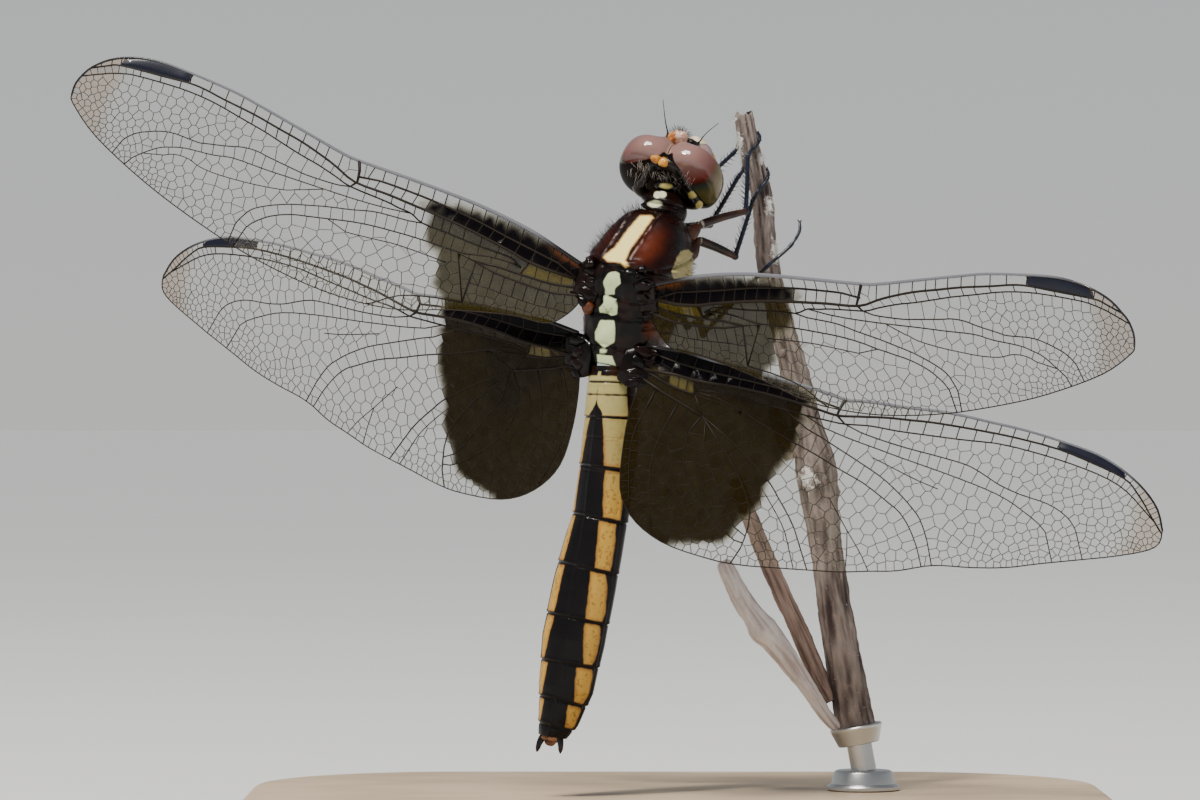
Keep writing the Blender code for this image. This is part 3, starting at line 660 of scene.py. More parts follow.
# ---- finishes ----
class Nodes:
    """Short hand for a node tree."""

    def __init__(self, tree):
        self.tree = tree

    def add(self, kind, *feeds, **settings):
        """A node with its inputs fed in order; a capital letter starts an input's name."""
        node = self.tree.nodes.new("ShaderNode" + kind)
        named = {k: v for k, v in settings.items() if k[0].isupper()}
        for key, value in settings.items():
            if key not in named:
                setattr(node, key, value)
        for socket, feed in [*zip(node.inputs, feeds), *((node.inputs[k], v) for k, v in named.items())]:
            self.feed(socket, feed)
        return node

    def feed(self, socket, feed):
        """A socket is linked, a value is set, and None is left."""
        if isinstance(feed, bpy.types.NodeSocket):
            self.tree.links.new(feed, socket)
        elif feed is not None:
            solid = socket.type == "RGBA" and len(feed) == 3
            socket.default_value = (*feed, 1.0) if solid else feed

    def math(self, operation, *feeds, clamp=False):
        return self.add("Math", *feeds, operation=operation, use_clamp=clamp).outputs[0]

    def plus(self, first, second):
        return self.math("ADD", first, second)

    def less(self, first, second):
        return self.math("SUBTRACT", first, second)

    def times(self, first, second):
        return self.math("MULTIPLY", first, second)

    def rest(self, share):
        return self.less(1.0, share)

    def between(self, share, first, second, kind, sockets, output):
        node = self.add("Mix", data_type=kind)
        for socket, feed in zip(sockets, (share, first, second)):
            self.feed(node.inputs[socket], feed)
        return node.outputs[output]

    def mix(self, share, first, second):
        """A colour between two others."""
        return self.between(share, first, second, "RGBA", (0, 6, 7), 2)

    def blend(self, share, first, second):
        """A number between two others."""
        return self.between(share, first, second, "FLOAT", (0, 2, 3), 0)

    def value(self, name):
        return self.add("Attribute", attribute_name=name).outputs["Fac"]

    def place(self):
        return self.add("TexCoord").outputs["Object"]

    def noise(self, scale, detail=3.0, stretch=None):
        at = self.place()
        if stretch:
            at = self.add("Mapping", at, Scale=stretch).outputs[0]
        return self.add("TexNoise", Vector=at, Scale=scale, Detail=detail, Roughness=0.55).outputs["Fac"]

    def step(self, value, low, high):
        """0 below low, 1 above high, smooth between."""
        node = self.add("MapRange", value, low, high, 0.0, 1.0, interpolation_type="SMOOTHSTEP")
        return node.outputs[0]

    def mask(self, name):
        """A point value, eased from 0 to 1."""
        return self.step(self.value(name), 0.0, 1.0)

    def ramp(self, value, *stops):
        node = self.add("ValToRGB", value)
        line = node.color_ramp.elements
        for i, (at, colour) in enumerate(stops):
            stop = line[i] if i < 2 else line.new(at)
            stop.position, stop.color = at, (*colour, 1.0)
        return node.outputs[0]

    def bump(self, height, strength, distance):
        return self.add("Bump", Strength=strength, Distance=distance, Height=height).outputs[0]

    def effect(self, tree, **feeds):
        """A shared effect placed with its own values."""
        node = self.tree.nodes.new("ShaderNodeGroup")
        node.node_tree = tree
        for key, feed in feeds.items():
            self.feed(node.inputs[key], feed)
        return node.outputs[0]


def effect(name, inputs, output, build):
    """A shared effect: build(nodes, inputs) returns what it puts out."""
    tree = bpy.data.node_groups.new(name, "ShaderNodeTree")
    for label, value in inputs.items():
        socket = tree.interface.new_socket(label, in_out="INPUT", socket_type="NodeSocketFloat")
        socket.default_value = value
    tree.interface.new_socket(output, in_out="OUTPUT", socket_type="NodeSocketFloat")
    given, result = tree.nodes.new("NodeGroupInput"), tree.nodes.new("NodeGroupOutput")
    tree.links.new(build(Nodes(tree), given.outputs), result.inputs[0])
    return tree


def finish(name, build, **fixed):
    """A material: build(nodes) returns what feeds the shader's sockets; fixed sets its plain values."""
    material = bpy.data.materials.new(name)
    material.use_nodes = True
    tree = material.node_tree
    shader = tree.nodes["Principled BSDF"]
    for key, value in ({"Specular_IOR_Level": 0.18} | fixed).items():
        shader.inputs[key.replace("_", " ")].default_value = value
    n = Nodes(tree)
    for key, feed in build(n).items():
        n.feed(shader.inputs[key], feed)
    return material


def marking(n, given):
    """Where a signed distance is inside a marking, with a wavering, slightly soft edge."""
    cloud = n.add("TexNoise", Vector=n.place(), Scale=given["Scale"], Detail=2.0).outputs["Fac"]
    edge = n.plus(given["Distance"], n.times(n.less(cloud, 0.5), given["Waver"]))
    return n.math("ADD", n.math("DIVIDE", edge, given["Softness"]), 0.5, clamp=True)


def chitin_grain(n, given):
    """Height of the fine pits and slow swells of shell plates."""
    pits = n.add("TexVoronoi", Vector=n.place(), Scale=given["Scale"]).outputs["Distance"]
    swells = n.add("TexNoise", Vector=n.place(), Scale=900.0, Detail=4.0).outputs["Fac"]
    return n.plus(n.times(pits, 0.6), n.times(swells, 0.8))


MARKING = effect("marking_edge", {"Distance": 0.0, "Softness": 0.08, "Waver": 0.15, "Scale": 2500.0}, "Mask",
                 marking)
GRAIN = effect("chitin_grain", {"Scale": 9000.0}, "Height", chitin_grain)


def marked(n, name, softness, waver, scale=2500.0):
    return n.effect(MARKING, Distance=n.value(name), Softness=softness, Waver=waver, Scale=scale)


CLEAR = ((0.27, 0.25, 0.17), (0.36, 0.33, 0.24))
# colour and opacity of each zone that lies over the clear membrane, the lowest first; None is the wing's own
ZONE_LOOKS = {"smoke": ((0.30, 0.18, 0.07), 0.24), "dark": None, "window": ((0.095, 0.070, 0.006), 0.78),
              "rust": ((0.13, 0.038, 0.006), 0.82), "black": ((0.003, 0.002, 0.003), 0.97)}


def membrane(dark_colour, dark_alpha):
    """Clear wing skin with its brown patch, black streak, pale windows and smoky tip."""
    def build(n):
        cell, mottle, ripple = n.value("cell"), n.noise(1400.0, 4.0), n.noise(3200.0)
        rim = n.rest(n.step(n.value("edge"), 0.0, 0.12))
        colour = n.mix(cell, *CLEAR)
        alpha = n.plus(n.blend(cell, 0.025, 0.05), n.times(rim, 0.05))
        own = (n.mix(n.times(mottle, 0.9), dark_colour, tuple(c * 0.45 for c in dark_colour)),
               n.plus(n.times(mottle, 0.12), dark_alpha - 0.06))
        for name, look in ZONE_LOOKS.items():
            zone, (over, opacity) = n.mask(name), look or own
            colour, alpha = n.mix(zone, colour, over), n.blend(zone, alpha, opacity)
        return {"Base Color": colour, "Alpha": alpha, "Roughness": n.blend(ripple, 0.10, 0.26),
                "Normal": n.bump(ripple, 0.35, 0.00004)}
    return build


def vein_finish(colour, rough, pale=None):
    def build(n):
        mottle = n.noise(2500.0)
        shade = n.mix(mottle, colour, tuple(c * 0.55 for c in colour))
        # On the costa the pale colour is a painted glint: bluish grey laid along the vein where light would
        # catch it.
        if pale:
            shade = n.mix(n.mask("pale"), shade, pale)
        return {"Base Color": shade, "Roughness": n.blend(mottle, rough, rough + 0.18),
                "Normal": n.bump(n.noise(9000.0, 2.0), 0.3, 0.00002)}
    return build


FORE_SKIN = finish("fore_wing_membrane", membrane((0.042, 0.031, 0.005), 0.72), Specular_IOR_Level=0.04)
HIND_SKIN = finish("hind_wing_membrane", membrane((0.020, 0.013, 0.003), 0.90), Specular_IOR_Level=0.04)
VEIN = finish("wing_vein", vein_finish((0.020, 0.013, 0.008), 0.40))
# The front vein is dark with a painted glint: bluish grey along most of its length, dark at its root and its
# tip.
COSTA = finish("wing_front_vein_painted_glint", vein_finish((0.014, 0.010, 0.010), 0.26, (0.16, 0.16, 0.18)),
               Coat_Weight=0.4)
STIGMA = finish("wing_tip_cell", vein_finish((0.008, 0.009, 0.022), 0.32), Coat_Weight=0.2)


# ---- body finishes ----
def shell(light, dark, scale=700.0, rough=(0.22, 0.42), extra=None):
    """Hard skin in two tones with fine pits; extra(nodes, shade, mottle) lays marks over them."""
    def build(n):
        mottle = n.noise(scale, 4.0)
        shade = n.mix(n.step(mottle, 0.32, 0.68), dark, light)
        if extra:
            shade = extra(n, shade, mottle)
        return {"Base Color": shade, "Roughness": n.blend(mottle, *rough),
                "Normal": n.bump(n.effect(GRAIN), 0.35, 0.00003)}
    return build


def thorax_colours(n, shade, mottle):
    red = n.step(n.value("red"), 0.12, 0.95)
    shade = n.mix(red, shade, n.mix(mottle, (0.045, 0.007, 0.003), (0.105, 0.018, 0.005)))
    black = n.mix(n.step(mottle, 0.45, 0.75), (0.0015, 0.0012, 0.0012), (0.016, 0.005, 0.003))
    shade = n.mix(n.value("back"), shade, black)
    shade = n.mix(n.value("flank"), shade, n.mix(mottle, (0.045, 0.010, 0.003), (0.12, 0.030, 0.007)))
    patch = n.mix(mottle, (0.36, 0.30, 0.11), (0.50, 0.42, 0.19))
    shade = n.mix(marked(n, "patch", 0.10, 0.15), shade, patch)
    stripe = marked(n, "stripe", 0.16, 0.16)
    rim = n.rest(n.step(n.value("stripe"), -0.05, 0.16))
    cream = n.mix(rim, (0.95, 0.80, 0.29), (0.55, 0.24, 0.07))
    shade = n.mix(stripe, shade, n.mix(n.times(mottle, 0.22), cream, (0.70, 0.52, 0.22)))
    # Painted highlight: pinkish-white dashes along the ridges beside the stripe stand in for glints of light
    # on them.
    painted_glint = n.times(n.value("crest"), n.step(n.noise(1100.0, 2.0), 0.40, 0.62))
    shade = n.mix(n.times(painted_glint, n.rest(stripe)), shade, (0.62, 0.42, 0.36))
    spots = n.mix(mottle, (0.50, 0.60, 0.28), (0.76, 0.84, 0.50))
    return n.mix(marked(n, "spots", 0.09, 0.10), shade, spots)


def spotted(softness, waver, first, second):
    """Marks in two tones over a shell, wherever the point value "spots" is above 0."""
    def extra(n, shade, mottle):
        return n.mix(marked(n, "spots", softness, waver), shade, n.mix(mottle, first, second))
    return extra


def abdomen_skin(n):
    mottle, specks = n.noise(800.0, 4.0), n.noise(3800.0)
    tone, off, seam = n.value("tone"), n.value("off"), n.value("seam")
    black = n.mix(mottle, (0.0015, 0.0015, 0.0022), (0.006, 0.004, 0.004))
    flank = n.mix(mottle, (0.006, 0.002, 0.001), (0.040, 0.013, 0.004))
    brown = n.mix(n.step(off, 0.10, 0.55), black, flank)
    black = n.mix(n.rest(n.step(tone, 0.2, 0.9)), black, brown)
    pale = n.mix(n.step(tone, 0.05, 0.45), (0.33, 0.31, 0.13), (0.34, 0.27, 0.095))
    pale = n.mix(n.step(tone, 0.45, 1.0), pale, (0.48, 0.26, 0.035))
    speckled = n.times(n.step(specks, 0.53, 0.64), n.blend(n.step(tone, 0.1, 0.7), 0.15, 0.8))
    pale = n.mix(speckled, pale, (0.20, 0.075, 0.012))
    rim = n.times(n.rest(n.step(n.value("pale"), 0.0, 0.30)), n.blend(n.step(tone, 0.1, 0.5), 0.12, 0.75))
    pale = n.mix(rim, pale, (0.24, 0.075, 0.012))
    light = n.mix(mottle, pale, n.mix(0.30, pale, (0.72, 0.50, 0.14)))
    shade = n.mix(marked(n, "pale", 0.10, 0.16, 1800.0), black, light)
    shade = n.mix(n.rest(n.step(seam, 0.03, 0.08)), shade, (0.004, 0.003, 0.003))
    return {"Base Color": shade, "Roughness": n.blend(mottle, 0.24, 0.42),
            "Normal": n.bump(n.effect(GRAIN, Scale=12000.0), 0.3, 0.00003)}


THORAX_SHELL = shell((0.016, 0.003, 0.002), (0.003, 0.0015, 0.001), extra=thorax_colours)
THORAX_SKIN = finish("thorax_shell", THORAX_SHELL, Coat_Weight=0.14, Coat_Roughness=0.08,
                     Specular_IOR_Level=0.10)
COLLAR_SPOTS = spotted(0.10, 0.12, (0.50, 0.50, 0.28), (0.78, 0.80, 0.58))
COLLAR_SHELL = shell((0.010, 0.003, 0.002), (0.002, 0.0012, 0.001), extra=COLLAR_SPOTS)
COLLAR_SKIN = finish("prothorax_shell", COLLAR_SHELL, Coat_Weight=0.12, Specular_IOR_Level=0.10)
NECK_SKIN = finish("neck_skin", shell((0.014, 0.006, 0.004), (0.004, 0.003, 0.002), rough=(0.5, 0.7)))
HINGE_SHELL = finish("hinge_shell", shell((0.007, 0.002, 0.0015), (0.0015, 0.001, 0.001)), Coat_Weight=0.20,
                     Coat_Roughness=0.05, Specular_IOR_Level=0.08)
ABDOMEN_SKIN = finish("abdomen_shell", abdomen_skin, Coat_Weight=0.10, Coat_Roughness=0.08,
                      Specular_IOR_Level=0.12)
TAIL_SHELL = shell((0.34, 0.17, 0.09), (0.05, 0.018, 0.012), 1500.0, (0.4, 0.6))
TAIL_FLESH = finish("anal_flap_skin", TAIL_SHELL)


# ---- head, leg, perch and stand finishes ----
IRIS = (   # share of the eye's height from its foot, and colour
    (0.0, (0.055, 0.045, 0.012)), (0.28, (0.085, 0.072, 0.022)), (0.45, (0.022, 0.034, 0.028)),
    (0.52, (0.050, 0.014, 0.008)), (0.58, (0.120, 0.016, 0.010)), (0.66, (0.155, 0.050, 0.042)),
    (0.80, (0.190, 0.090, 0.080)), (1.0, (0.25, 0.135, 0.115)))


def eye_skin(n):
    height, back, out = n.value("height"), n.value("back"), n.value("out")
    cloud = n.noise(500.0)
    cells = n.add("TexVoronoi", Vector=n.place(), Scale=22000.0).outputs["Distance"]
    level = n.less(n.plus(height, n.times(n.less(cloud, 0.5), 0.7)), n.times(out, 0.5))
    shade = n.ramp(n.add("MapRange", level, -2.4, 2.4, 0.0, 1.0).outputs[0], *IRIS)
    shade = n.mix(n.times(n.step(out, 1.45, 1.95), n.step(height, -1.9, 0.3)), shade, (0.16, 0.105, 0.035))
    shade = n.mix(n.rest(n.step(n.value("seam"), 0.0, 0.35)), shade, (0.46, 0.30, 0.24))
    shade = n.mix(n.step(back, 0.25, 0.75), shade, n.mix(cloud, (0.003, 0.002, 0.002), (0.012, 0.006, 0.004)))
    return {"Base Color": shade, "Roughness": n.blend(cloud, 0.22, 0.34),
            "Coat Weight": n.blend(n.step(back, 0.2, 0.7), 1.0, 0.06), "Normal": n.bump(cells, 0.12, 0.00002)}


def bark(light, dark):
    def build(n):
        streak, spots = n.noise(700.0, 5.0, (1.0, 1.0, 0.18)), n.noise(2600.0, 4.0)
        open_grain = n.plus(n.times(n.value("crack"), 0.55), n.times(streak, 0.6))
        shade = n.mix(n.step(open_grain, 0.30, 0.78), dark, light)
        shade = n.mix(n.times(n.step(spots, 0.55, 0.75), 0.35), shade, (0.34, 0.20, 0.15))
        fluff = n.plus(n.value("fuzz"), n.times(n.less(spots, 0.5), 3.4))
        shade = n.mix(n.step(fluff, 0.18, 0.75), shade, (0.78, 0.76, 0.72))
        # Painted shade: inside the hollow top, where inner is set, the bark is near black.
        shade = n.mix(n.step(n.value("inner"), 0.45, 0.95), shade, (0.008, 0.006, 0.005))
        height = n.plus(streak, n.times(spots, 0.5))
        return {"Base Color": shade, "Roughness": n.blend(spots, 0.75, 0.95),
                "Normal": n.bump(height, 0.8, 0.00008)}
    return build


def wood(n):
    grain = n.add("Mapping", n.place(), Scale=(1.0, 9.0, 4.0)).outputs[0]
    rings = n.add("TexWave", Vector=grain, Scale=22.0, Distortion=5.0, Detail=3.0, **{"Detail Scale": 2.0})
    fibre = n.noise(260.0, 5.0, (0.06, 1.0, 1.0))
    pores = n.step(n.noise(1500.0, 2.0, (0.05, 1.0, 1.0)), 0.60, 0.72)
    shade = n.mix(n.times(rings.outputs["Fac"], 0.45), (0.55, 0.42, 0.28), (0.40, 0.27, 0.16))
    shade = n.mix(n.times(fibre, 0.35), shade, (0.62, 0.50, 0.36))
    shade = n.mix(n.times(pores, 0.35), shade, (0.24, 0.15, 0.08))
    return {"Base Color": shade, "Roughness": n.blend(fibre, 0.42, 0.58),
            "Normal": n.bump(fibre, 0.25, 0.00006)}


def brushed(n):
    lines = n.noise(2500.0, 3.0, (1.0, 1.0, 14.0))
    return {"Base Color": n.mix(lines, (0.52, 0.52, 0.51), (0.66, 0.66, 0.65)),
            "Roughness": n.blend(lines, 0.26, 0.42), "Normal": n.bump(lines, 0.15, 0.00002)}


def strand(first, second):
    return lambda n: {"Base Color": n.mix(n.noise(900.0), first, second)}


def pale_knee(n, shade, mottle):
    return n.mix(n.value("pale"), shade, (0.55, 0.50, 0.42))


EYE_SKIN = finish("compound_eye", eye_skin, Coat_Weight=1.0, Coat_Roughness=0.035, Specular_IOR_Level=0.05)
OCCIPUT_SPOTS = spotted(0.10, 0.14, (0.42, 0.32, 0.07), (0.62, 0.52, 0.18))
SHELLS = {   # light tone, dark tone, coat, and what differs from a plain shell
    "hinge_flesh": ((0.15, 0.042, 0.010), (0.030, 0.008, 0.004), 0.3, {}),
    "hinge_rim": ((0.62, 0.48, 0.30), (0.36, 0.22, 0.12), 0.3, {}),
    "cercus_shell": ((0.008, 0.006, 0.006), (0.002, 0.002, 0.002), 0.3, {}),
    "head_shell": ((0.008, 0.004, 0.003), (0.002, 0.0012, 0.001), 0.3, {"extra": OCCIPUT_SPOTS}),
    "occiput_orange": ((0.66, 0.31, 0.045), (0.34, 0.11, 0.015), 0.3,
                       {"scale": 1600.0, "rough": (0.30, 0.45)}),
    "vertex_pale": ((0.74, 0.52, 0.42), (0.48, 0.24, 0.16), 0.35, {"scale": 1500.0}),
    "vertex_orange": ((0.62, 0.27, 0.08), (0.34, 0.10, 0.03), 0.35, {"scale": 1500.0}),
    "frons_pale": ((0.80, 0.68, 0.50), (0.50, 0.34, 0.26), 0.35, {"scale": 900.0}),
    "frons_mauve": ((0.30, 0.20, 0.20), (0.16, 0.10, 0.12), 0.35, {"scale": 900.0}),
    "face_yellow": ((0.62, 0.36, 0.07), (0.40, 0.20, 0.04), 0.2, {"scale": 900.0}),
    "face_brown": ((0.10, 0.045, 0.02), (0.03, 0.015, 0.01), 0.2, {"scale": 900.0}),
    "ocellus": ((0.10, 0.05, 0.03), (0.03, 0.015, 0.01), 0.9, {"rough": (0.10, 0.16)}),
    "femur_shell": ((0.060, 0.022, 0.012), (0.008, 0.004, 0.004), 0.35, {"extra": pale_knee}),
    "coxa_shell": ((0.095, 0.030, 0.013), (0.020, 0.008, 0.005), 0.25, {}),
}
PLAIN = {name: finish(name, shell(light, dark, **more), Coat_Weight=coat)
         for name, (light, dark, coat, more) in SHELLS.items()}
SHIN_SHELL = finish("shin_shell", shell((0.010, 0.014, 0.034), (0.002, 0.003, 0.007)), Coat_Weight=0.45,
                    Coat_Roughness=0.12)
DARK_HAIR = finish("dark_hair", strand((0.022, 0.012, 0.008), (0.006, 0.004, 0.003)), Roughness=0.6)
SILK_HAIR = finish("silk_hair", strand((0.62, 0.54, 0.46), (0.40, 0.33, 0.27)), Roughness=0.45)
FLUFF = finish("bark_fluff", strand((0.80, 0.78, 0.74), (0.55, 0.52, 0.48)), Roughness=0.8)
BARK = finish("twig_bark", bark((0.30, 0.245, 0.215), (0.045, 0.030, 0.028)))
SHOOT_BARK = finish("shoot_bark", bark((0.34, 0.24, 0.20), (0.12, 0.075, 0.06)))
PALE_BARK = finish("pale_bark", bark((0.72, 0.66, 0.63), (0.42, 0.33, 0.31)))
PALE_WOOD = finish("pale_wood", wood)
STEEL = finish("satin_steel", brushed, Metallic=1.0, Specular_IOR_Level=0.5)


# ---- wing pieces ----
# Zones of each wing, as closed outlines in (s, t)
FORE_ZONES = {
    "dark": ((-0.8, -0.2), (2.0, -0.9), (4.0, -0.5), (8.0, -0.3), (11.6, -0.3), (11.7, 0.9), (11.2, 2.1),
             (10.2, 2.6), (9.9, 3.6), (9.9, 4.6), (8.9, 5.4), (8.2, 6.6), (4.0, 5.6), (0.0, 5.2),
             (-1.0, 3.0)),
    "black": ((-0.4, 0.35), (2.0, -0.02), (3.2, -0.5), (4.5, -0.9), (6, -1.1), (8, -1.2), (9.6, -1.15),
              (10.9, -1.0), (12.0, -0.85), (12.6, -0.5), (12.2, -0.15), (10, 0.06), (8, 0.32), (6, 0.66),
              (4.5, 0.98), (3, 1.14), (-0.4, 1.2)),
    "window": ((0.3, 1.15), (3.75, 1.1), (4.1, 1.95), (2.0, 1.92), (0.6, 1.68)),
    "rust": ((-0.6, 0.1), (0.8, -0.5), (2.0, -0.8), (2.9, -0.9), (3.0, -0.2), (1.5, 0.5), (-0.4, 0.75)),
    "smoke": ((35.6, -5.0), (41.0, -5.0), (41.0, 4.0), (35.9, 4.0), (36.4, 0.0)),
}
HIND_ZONES = {
    "dark": ((-1.5, 0.1), (3.0, 0.1), (8.0, -0.3), (11.2, -0.3), (11.3, 1.0), (11.5, 2.6), (11.5, 3.8),
             (10.9, 5.1), (10.6, 6.2), (10.8, 7.2), (10.3, 8.4), (9.5, 9.6), (9.5, 10.4), (9.0, 11.1),
             (7.2, 11.7), (6.0, 12.2), (4.8, 12.9), (1.5, 12.3), (-1.5, 8.5), (-2.0, 4.0)),
    "black": ((-0.8, -0.5), (2, -0.95), (5, -1.05), (8, -1.1), (10, -1.0), (11.4, -0.85), (12.0, -0.35),
              (11.0, 0.08), (8, 0.28), (5, 0.7), (3, 0.98), (-0.8, 0.95)),
    "window": ((0.2, 1.1), (3.4, 1.05), (3.5, 1.8), (1.8, 1.72)),
    "rust": ((-0.8, -0.2), (0.4, -0.5), (1.2, -0.5), (1.0, 0.1), (-0.8, 0.3)),
    "smoke": ((34.6, -4.0), (40.0, -4.0), (40.0, 4.0), (35.0, 4.0), (35.5, 1.0)),
}
EDGE_BLUR = {"dark": 0.55, "black": 0.5, "window": 0.12, "rust": 0.4, "smoke": 1.6}
VEIN_SIDES, MAIN_SIDES, COSTA_SIDES = 4, 6, 8
CELL_VEIN, RUNG_VEIN, REAR_VEIN = 0.026, 0.040, 0.045       # radii
PLEAT, PLEAT_FADE = 0.352, 0.62     # height of the pleats at the root, and the share lost at the tip
MEMBRANE_SWELL = 0.03   # how far a cell bulges at its middle
HIND_TUCK = 0.85        # how far the right hind wing's inner margin is drawn in beside the abdomen
STIGMA_ROWS, STIGMA_STOPS, STIGMA_SWELL = 7, 25, 0.09


def part_way(value, low, span):
    """How far a value is from low across a span, as a share held between 0 and 1."""
    return np.clip((value - low) / span, 0, 1)


class WingPlace:
    """Puts one wing's points (s, t) and heights into the front frame; height is towards its upper side."""

    def __init__(self, base, span, chord, tuck=0.0):
        self.tuck = tuck
        self.base, self.span = np.array(base), np.array(Vector(span).normalized())
        chord = np.array(chord) - self.span * np.dot(chord, self.span)
        self.chord = chord / np.linalg.norm(chord)
        up = np.cross(self.span, self.chord)
        self.up = up if up[2] > 0 else -up

    def __call__(self, st, height):
        st = np.array(st, float)
        s, t = st[:, 0], st[:, 1]
        st[:, 0] += self.tuck * part_way(t, 1, 2) * part_way(t, 12, -3) * part_way(s, 4, -4.5)
        flat = self.base + st[:, :1] * self.span + st[:, 1:2] * self.chord
        return flat + np.asarray(height)[:, None] * self.up


def pleats(shape, veins, points):
    """Height of the folded membrane: each vein has its level, and points between share those near them."""
    levels = {"costa": -0.2, "rear": 0.0} | {name: row[2] for name, row in shape["veins"].items()}
    total, weight = np.zeros(len(points)), np.zeros(len(points))
    for name, level in levels.items():
        share = 1 / (distance_to(veins[name], points) ** 2 + 0.03)
        total += share * level
        weight += share
    fade = 1 - PLEAT_FADE * part_way(points[:, 0], 0, shape["length"])
    roll = np.array([noise.noise((s * 0.22, t * 0.3, 1.7)) for s, t in points]) * 0.10
    return PLEAT * fade * total / weight + roll


def zone_values(zones, spots, centres):
    """How far each point is into each zone, 0 to 1 across its blur; part of it is settled cell by cell."""
    found = {}
    for key, outline in zones.items():
        loop = np.array(outline, float)
        depth = 0.7 * signed_inside(loop, spots) + 0.3 * signed_inside(loop, centres)
        found[key] = np.clip(depth / EDGE_BLUR[key] + 0.5, 0, 1)
    return found


def turned_over(faces):
    return [f[::-1] for f in faces]


def add_membrane(stock, points, cells, zones, level_of, stand):
    """Every cell is a thin closed lens between its veins: a fan from its middle on either side."""
    spots, centres, edge, tint, fans = [], [], [], [], []
    start = 0
    for cell, shade in zip(cells, RNG.random(len(cells))):
        rim = points[list(cell)]
        middle, n = rim.mean(0), len(rim)
        room = float(distance_to(np.vstack([rim, rim[:1]]), middle[None])[0])
        spots.append(np.vstack([rim, middle[None]]))
        centres.append(np.repeat(middle[None], n + 1, 0))
        edge.append(np.append(np.zeros(n), room))
        tint.append(np.full(n + 1, shade))
        fans += [(start + k, start + (k + 1) % n, start + n) for k in range(n)]
        start += n + 1
    spots, centres, edge, tint = (np.concatenate(rows) for rows in (spots, centres, edge, tint))
    values = zone_values(zones, spots, centres) | {"edge": edge, "cell": tint}
    swell = MEMBRANE_SWELL * np.minimum(edge / 0.4, 1.0)
    for side in (1, -1):
        faces = fans if side > 0 else [(b, a, middle) for a, b, middle in fans]
        stock.add(stand(spots, level_of(spots) + swell * side), faces, 0, **values)


def add_veins(stock, points, edges, kinds, shape, veins, level_of, stand):
    """Cross veins and cell walls as thin tubes, then the main veins, the rear edge, costa and nodus."""
    placed = stand(points, level_of(points))
    for (a, b), kind in zip(edges, kinds):
        if kind != MAIN_LINE:
            radius = RUNG_VEIN if kind == RUNG else CELL_VEIN
            stock.add(*tube(placed[[a, b]], radius, VEIN_SIDES, caps=False), 0)
    rows = [(name, thick, thin, 0.7) for name, (thick, thin, *_) in shape["veins"].items()]
    for name, thick, thin, power in (*rows, ("rear", REAR_VEIN, REAR_VEIN, 1)):
        line = veins[name]
        share = part_way(line[:, 0], 0, shape["length"])
        radii = thick + (thin - thick) * share ** power
        stock.add(*tube(stand(line, level_of(line)), radii, MAIN_SIDES), 0)
    costa, nodus = veins["costa"], veins["nodus"]
    radii = 0.15 - 0.075 * part_way(costa[:, 0], 0, shape["length"])
    # pale marks the painted glint along the costa, from just past its root to short of its tip.
    pale = part_way(costa[:, 0], 2.0, 2.5) * part_way(costa[:, 0], 36, -4)
    stock.add(*tube(stand(costa, level_of(costa)), radii, COSTA_SIDES), 1, pale=np.repeat(pale, COSTA_SIDES))
    stock.add(*tube(stand(nodus, level_of(nodus) + 0.03), (0.13, 0.11, 0.10, 0.06), MAIN_SIDES), 0)


def add_stigma(stock, shape, veins, level_of, stand):
    """The thick dark cell near the tip, a raised cushion between the front vein and the radius."""
    stops = np.linspace(*shape["stigma"], STIGMA_STOPS)
    shares = np.linspace(0, 1, STIGMA_ROWS)
    spots = np.array([(s - 0.15 * (1 - share),
                       along(veins["costa"], s) * (1 - share) + along(veins["radius"], s) * share)
                      for share in shares for s in stops])
    across = np.repeat(shares, STIGMA_STOPS)
    length = np.tile(np.linspace(0, 1, STIGMA_STOPS), STIGMA_ROWS)
    swell = np.sqrt(np.clip(np.sin(pi * across), 0, 1)) * np.clip(np.sin(pi * length) * 3, 0, 1)
    faces = grid_faces(STIGMA_ROWS, STIGMA_STOPS, closed=False)
    for side in (1, -1):
        placed = stand(spots, level_of(spots) + STIGMA_SWELL * swell * side)
        stock.add(placed, faces if side > 0 else turned_over(faces), 2)


def build_wings():
    kinds_of_wing = {"fore": (FORE, FORE_ZONES, FORE_SKIN, wing_network(FORE)),
                     "hind": (HIND, HIND_ZONES, HIND_SKIN, wing_network(HIND))}
    for name, (base, span, chord) in WINGS.items():
        shape, zones, skin_finish, (veins, points, edges, kinds, cells) = kinds_of_wing[name[:4]]
        stand = WingPlace(base, span, chord, HIND_TUCK if name == "hind_right" else 0.0)

        def level_of(spots, shape=shape, veins=veins):
            return pleats(shape, veins, spots)

        skin, ribs = Stock(), Stock()
        add_membrane(skin, points, cells, zones, level_of, stand)
        skin.piece(f"wing_skin_{name}", [skin_finish], "wing_membrane", [f"wing_{name}"])
        add_veins(ribs, points, edges, kinds, shape, veins, level_of, stand)
        add_stigma(ribs, shape, veins, level_of, stand)
        ribs.piece(f"wing_veins_{name}", [VEIN, COSTA, STIGMA], "wing_membrane")


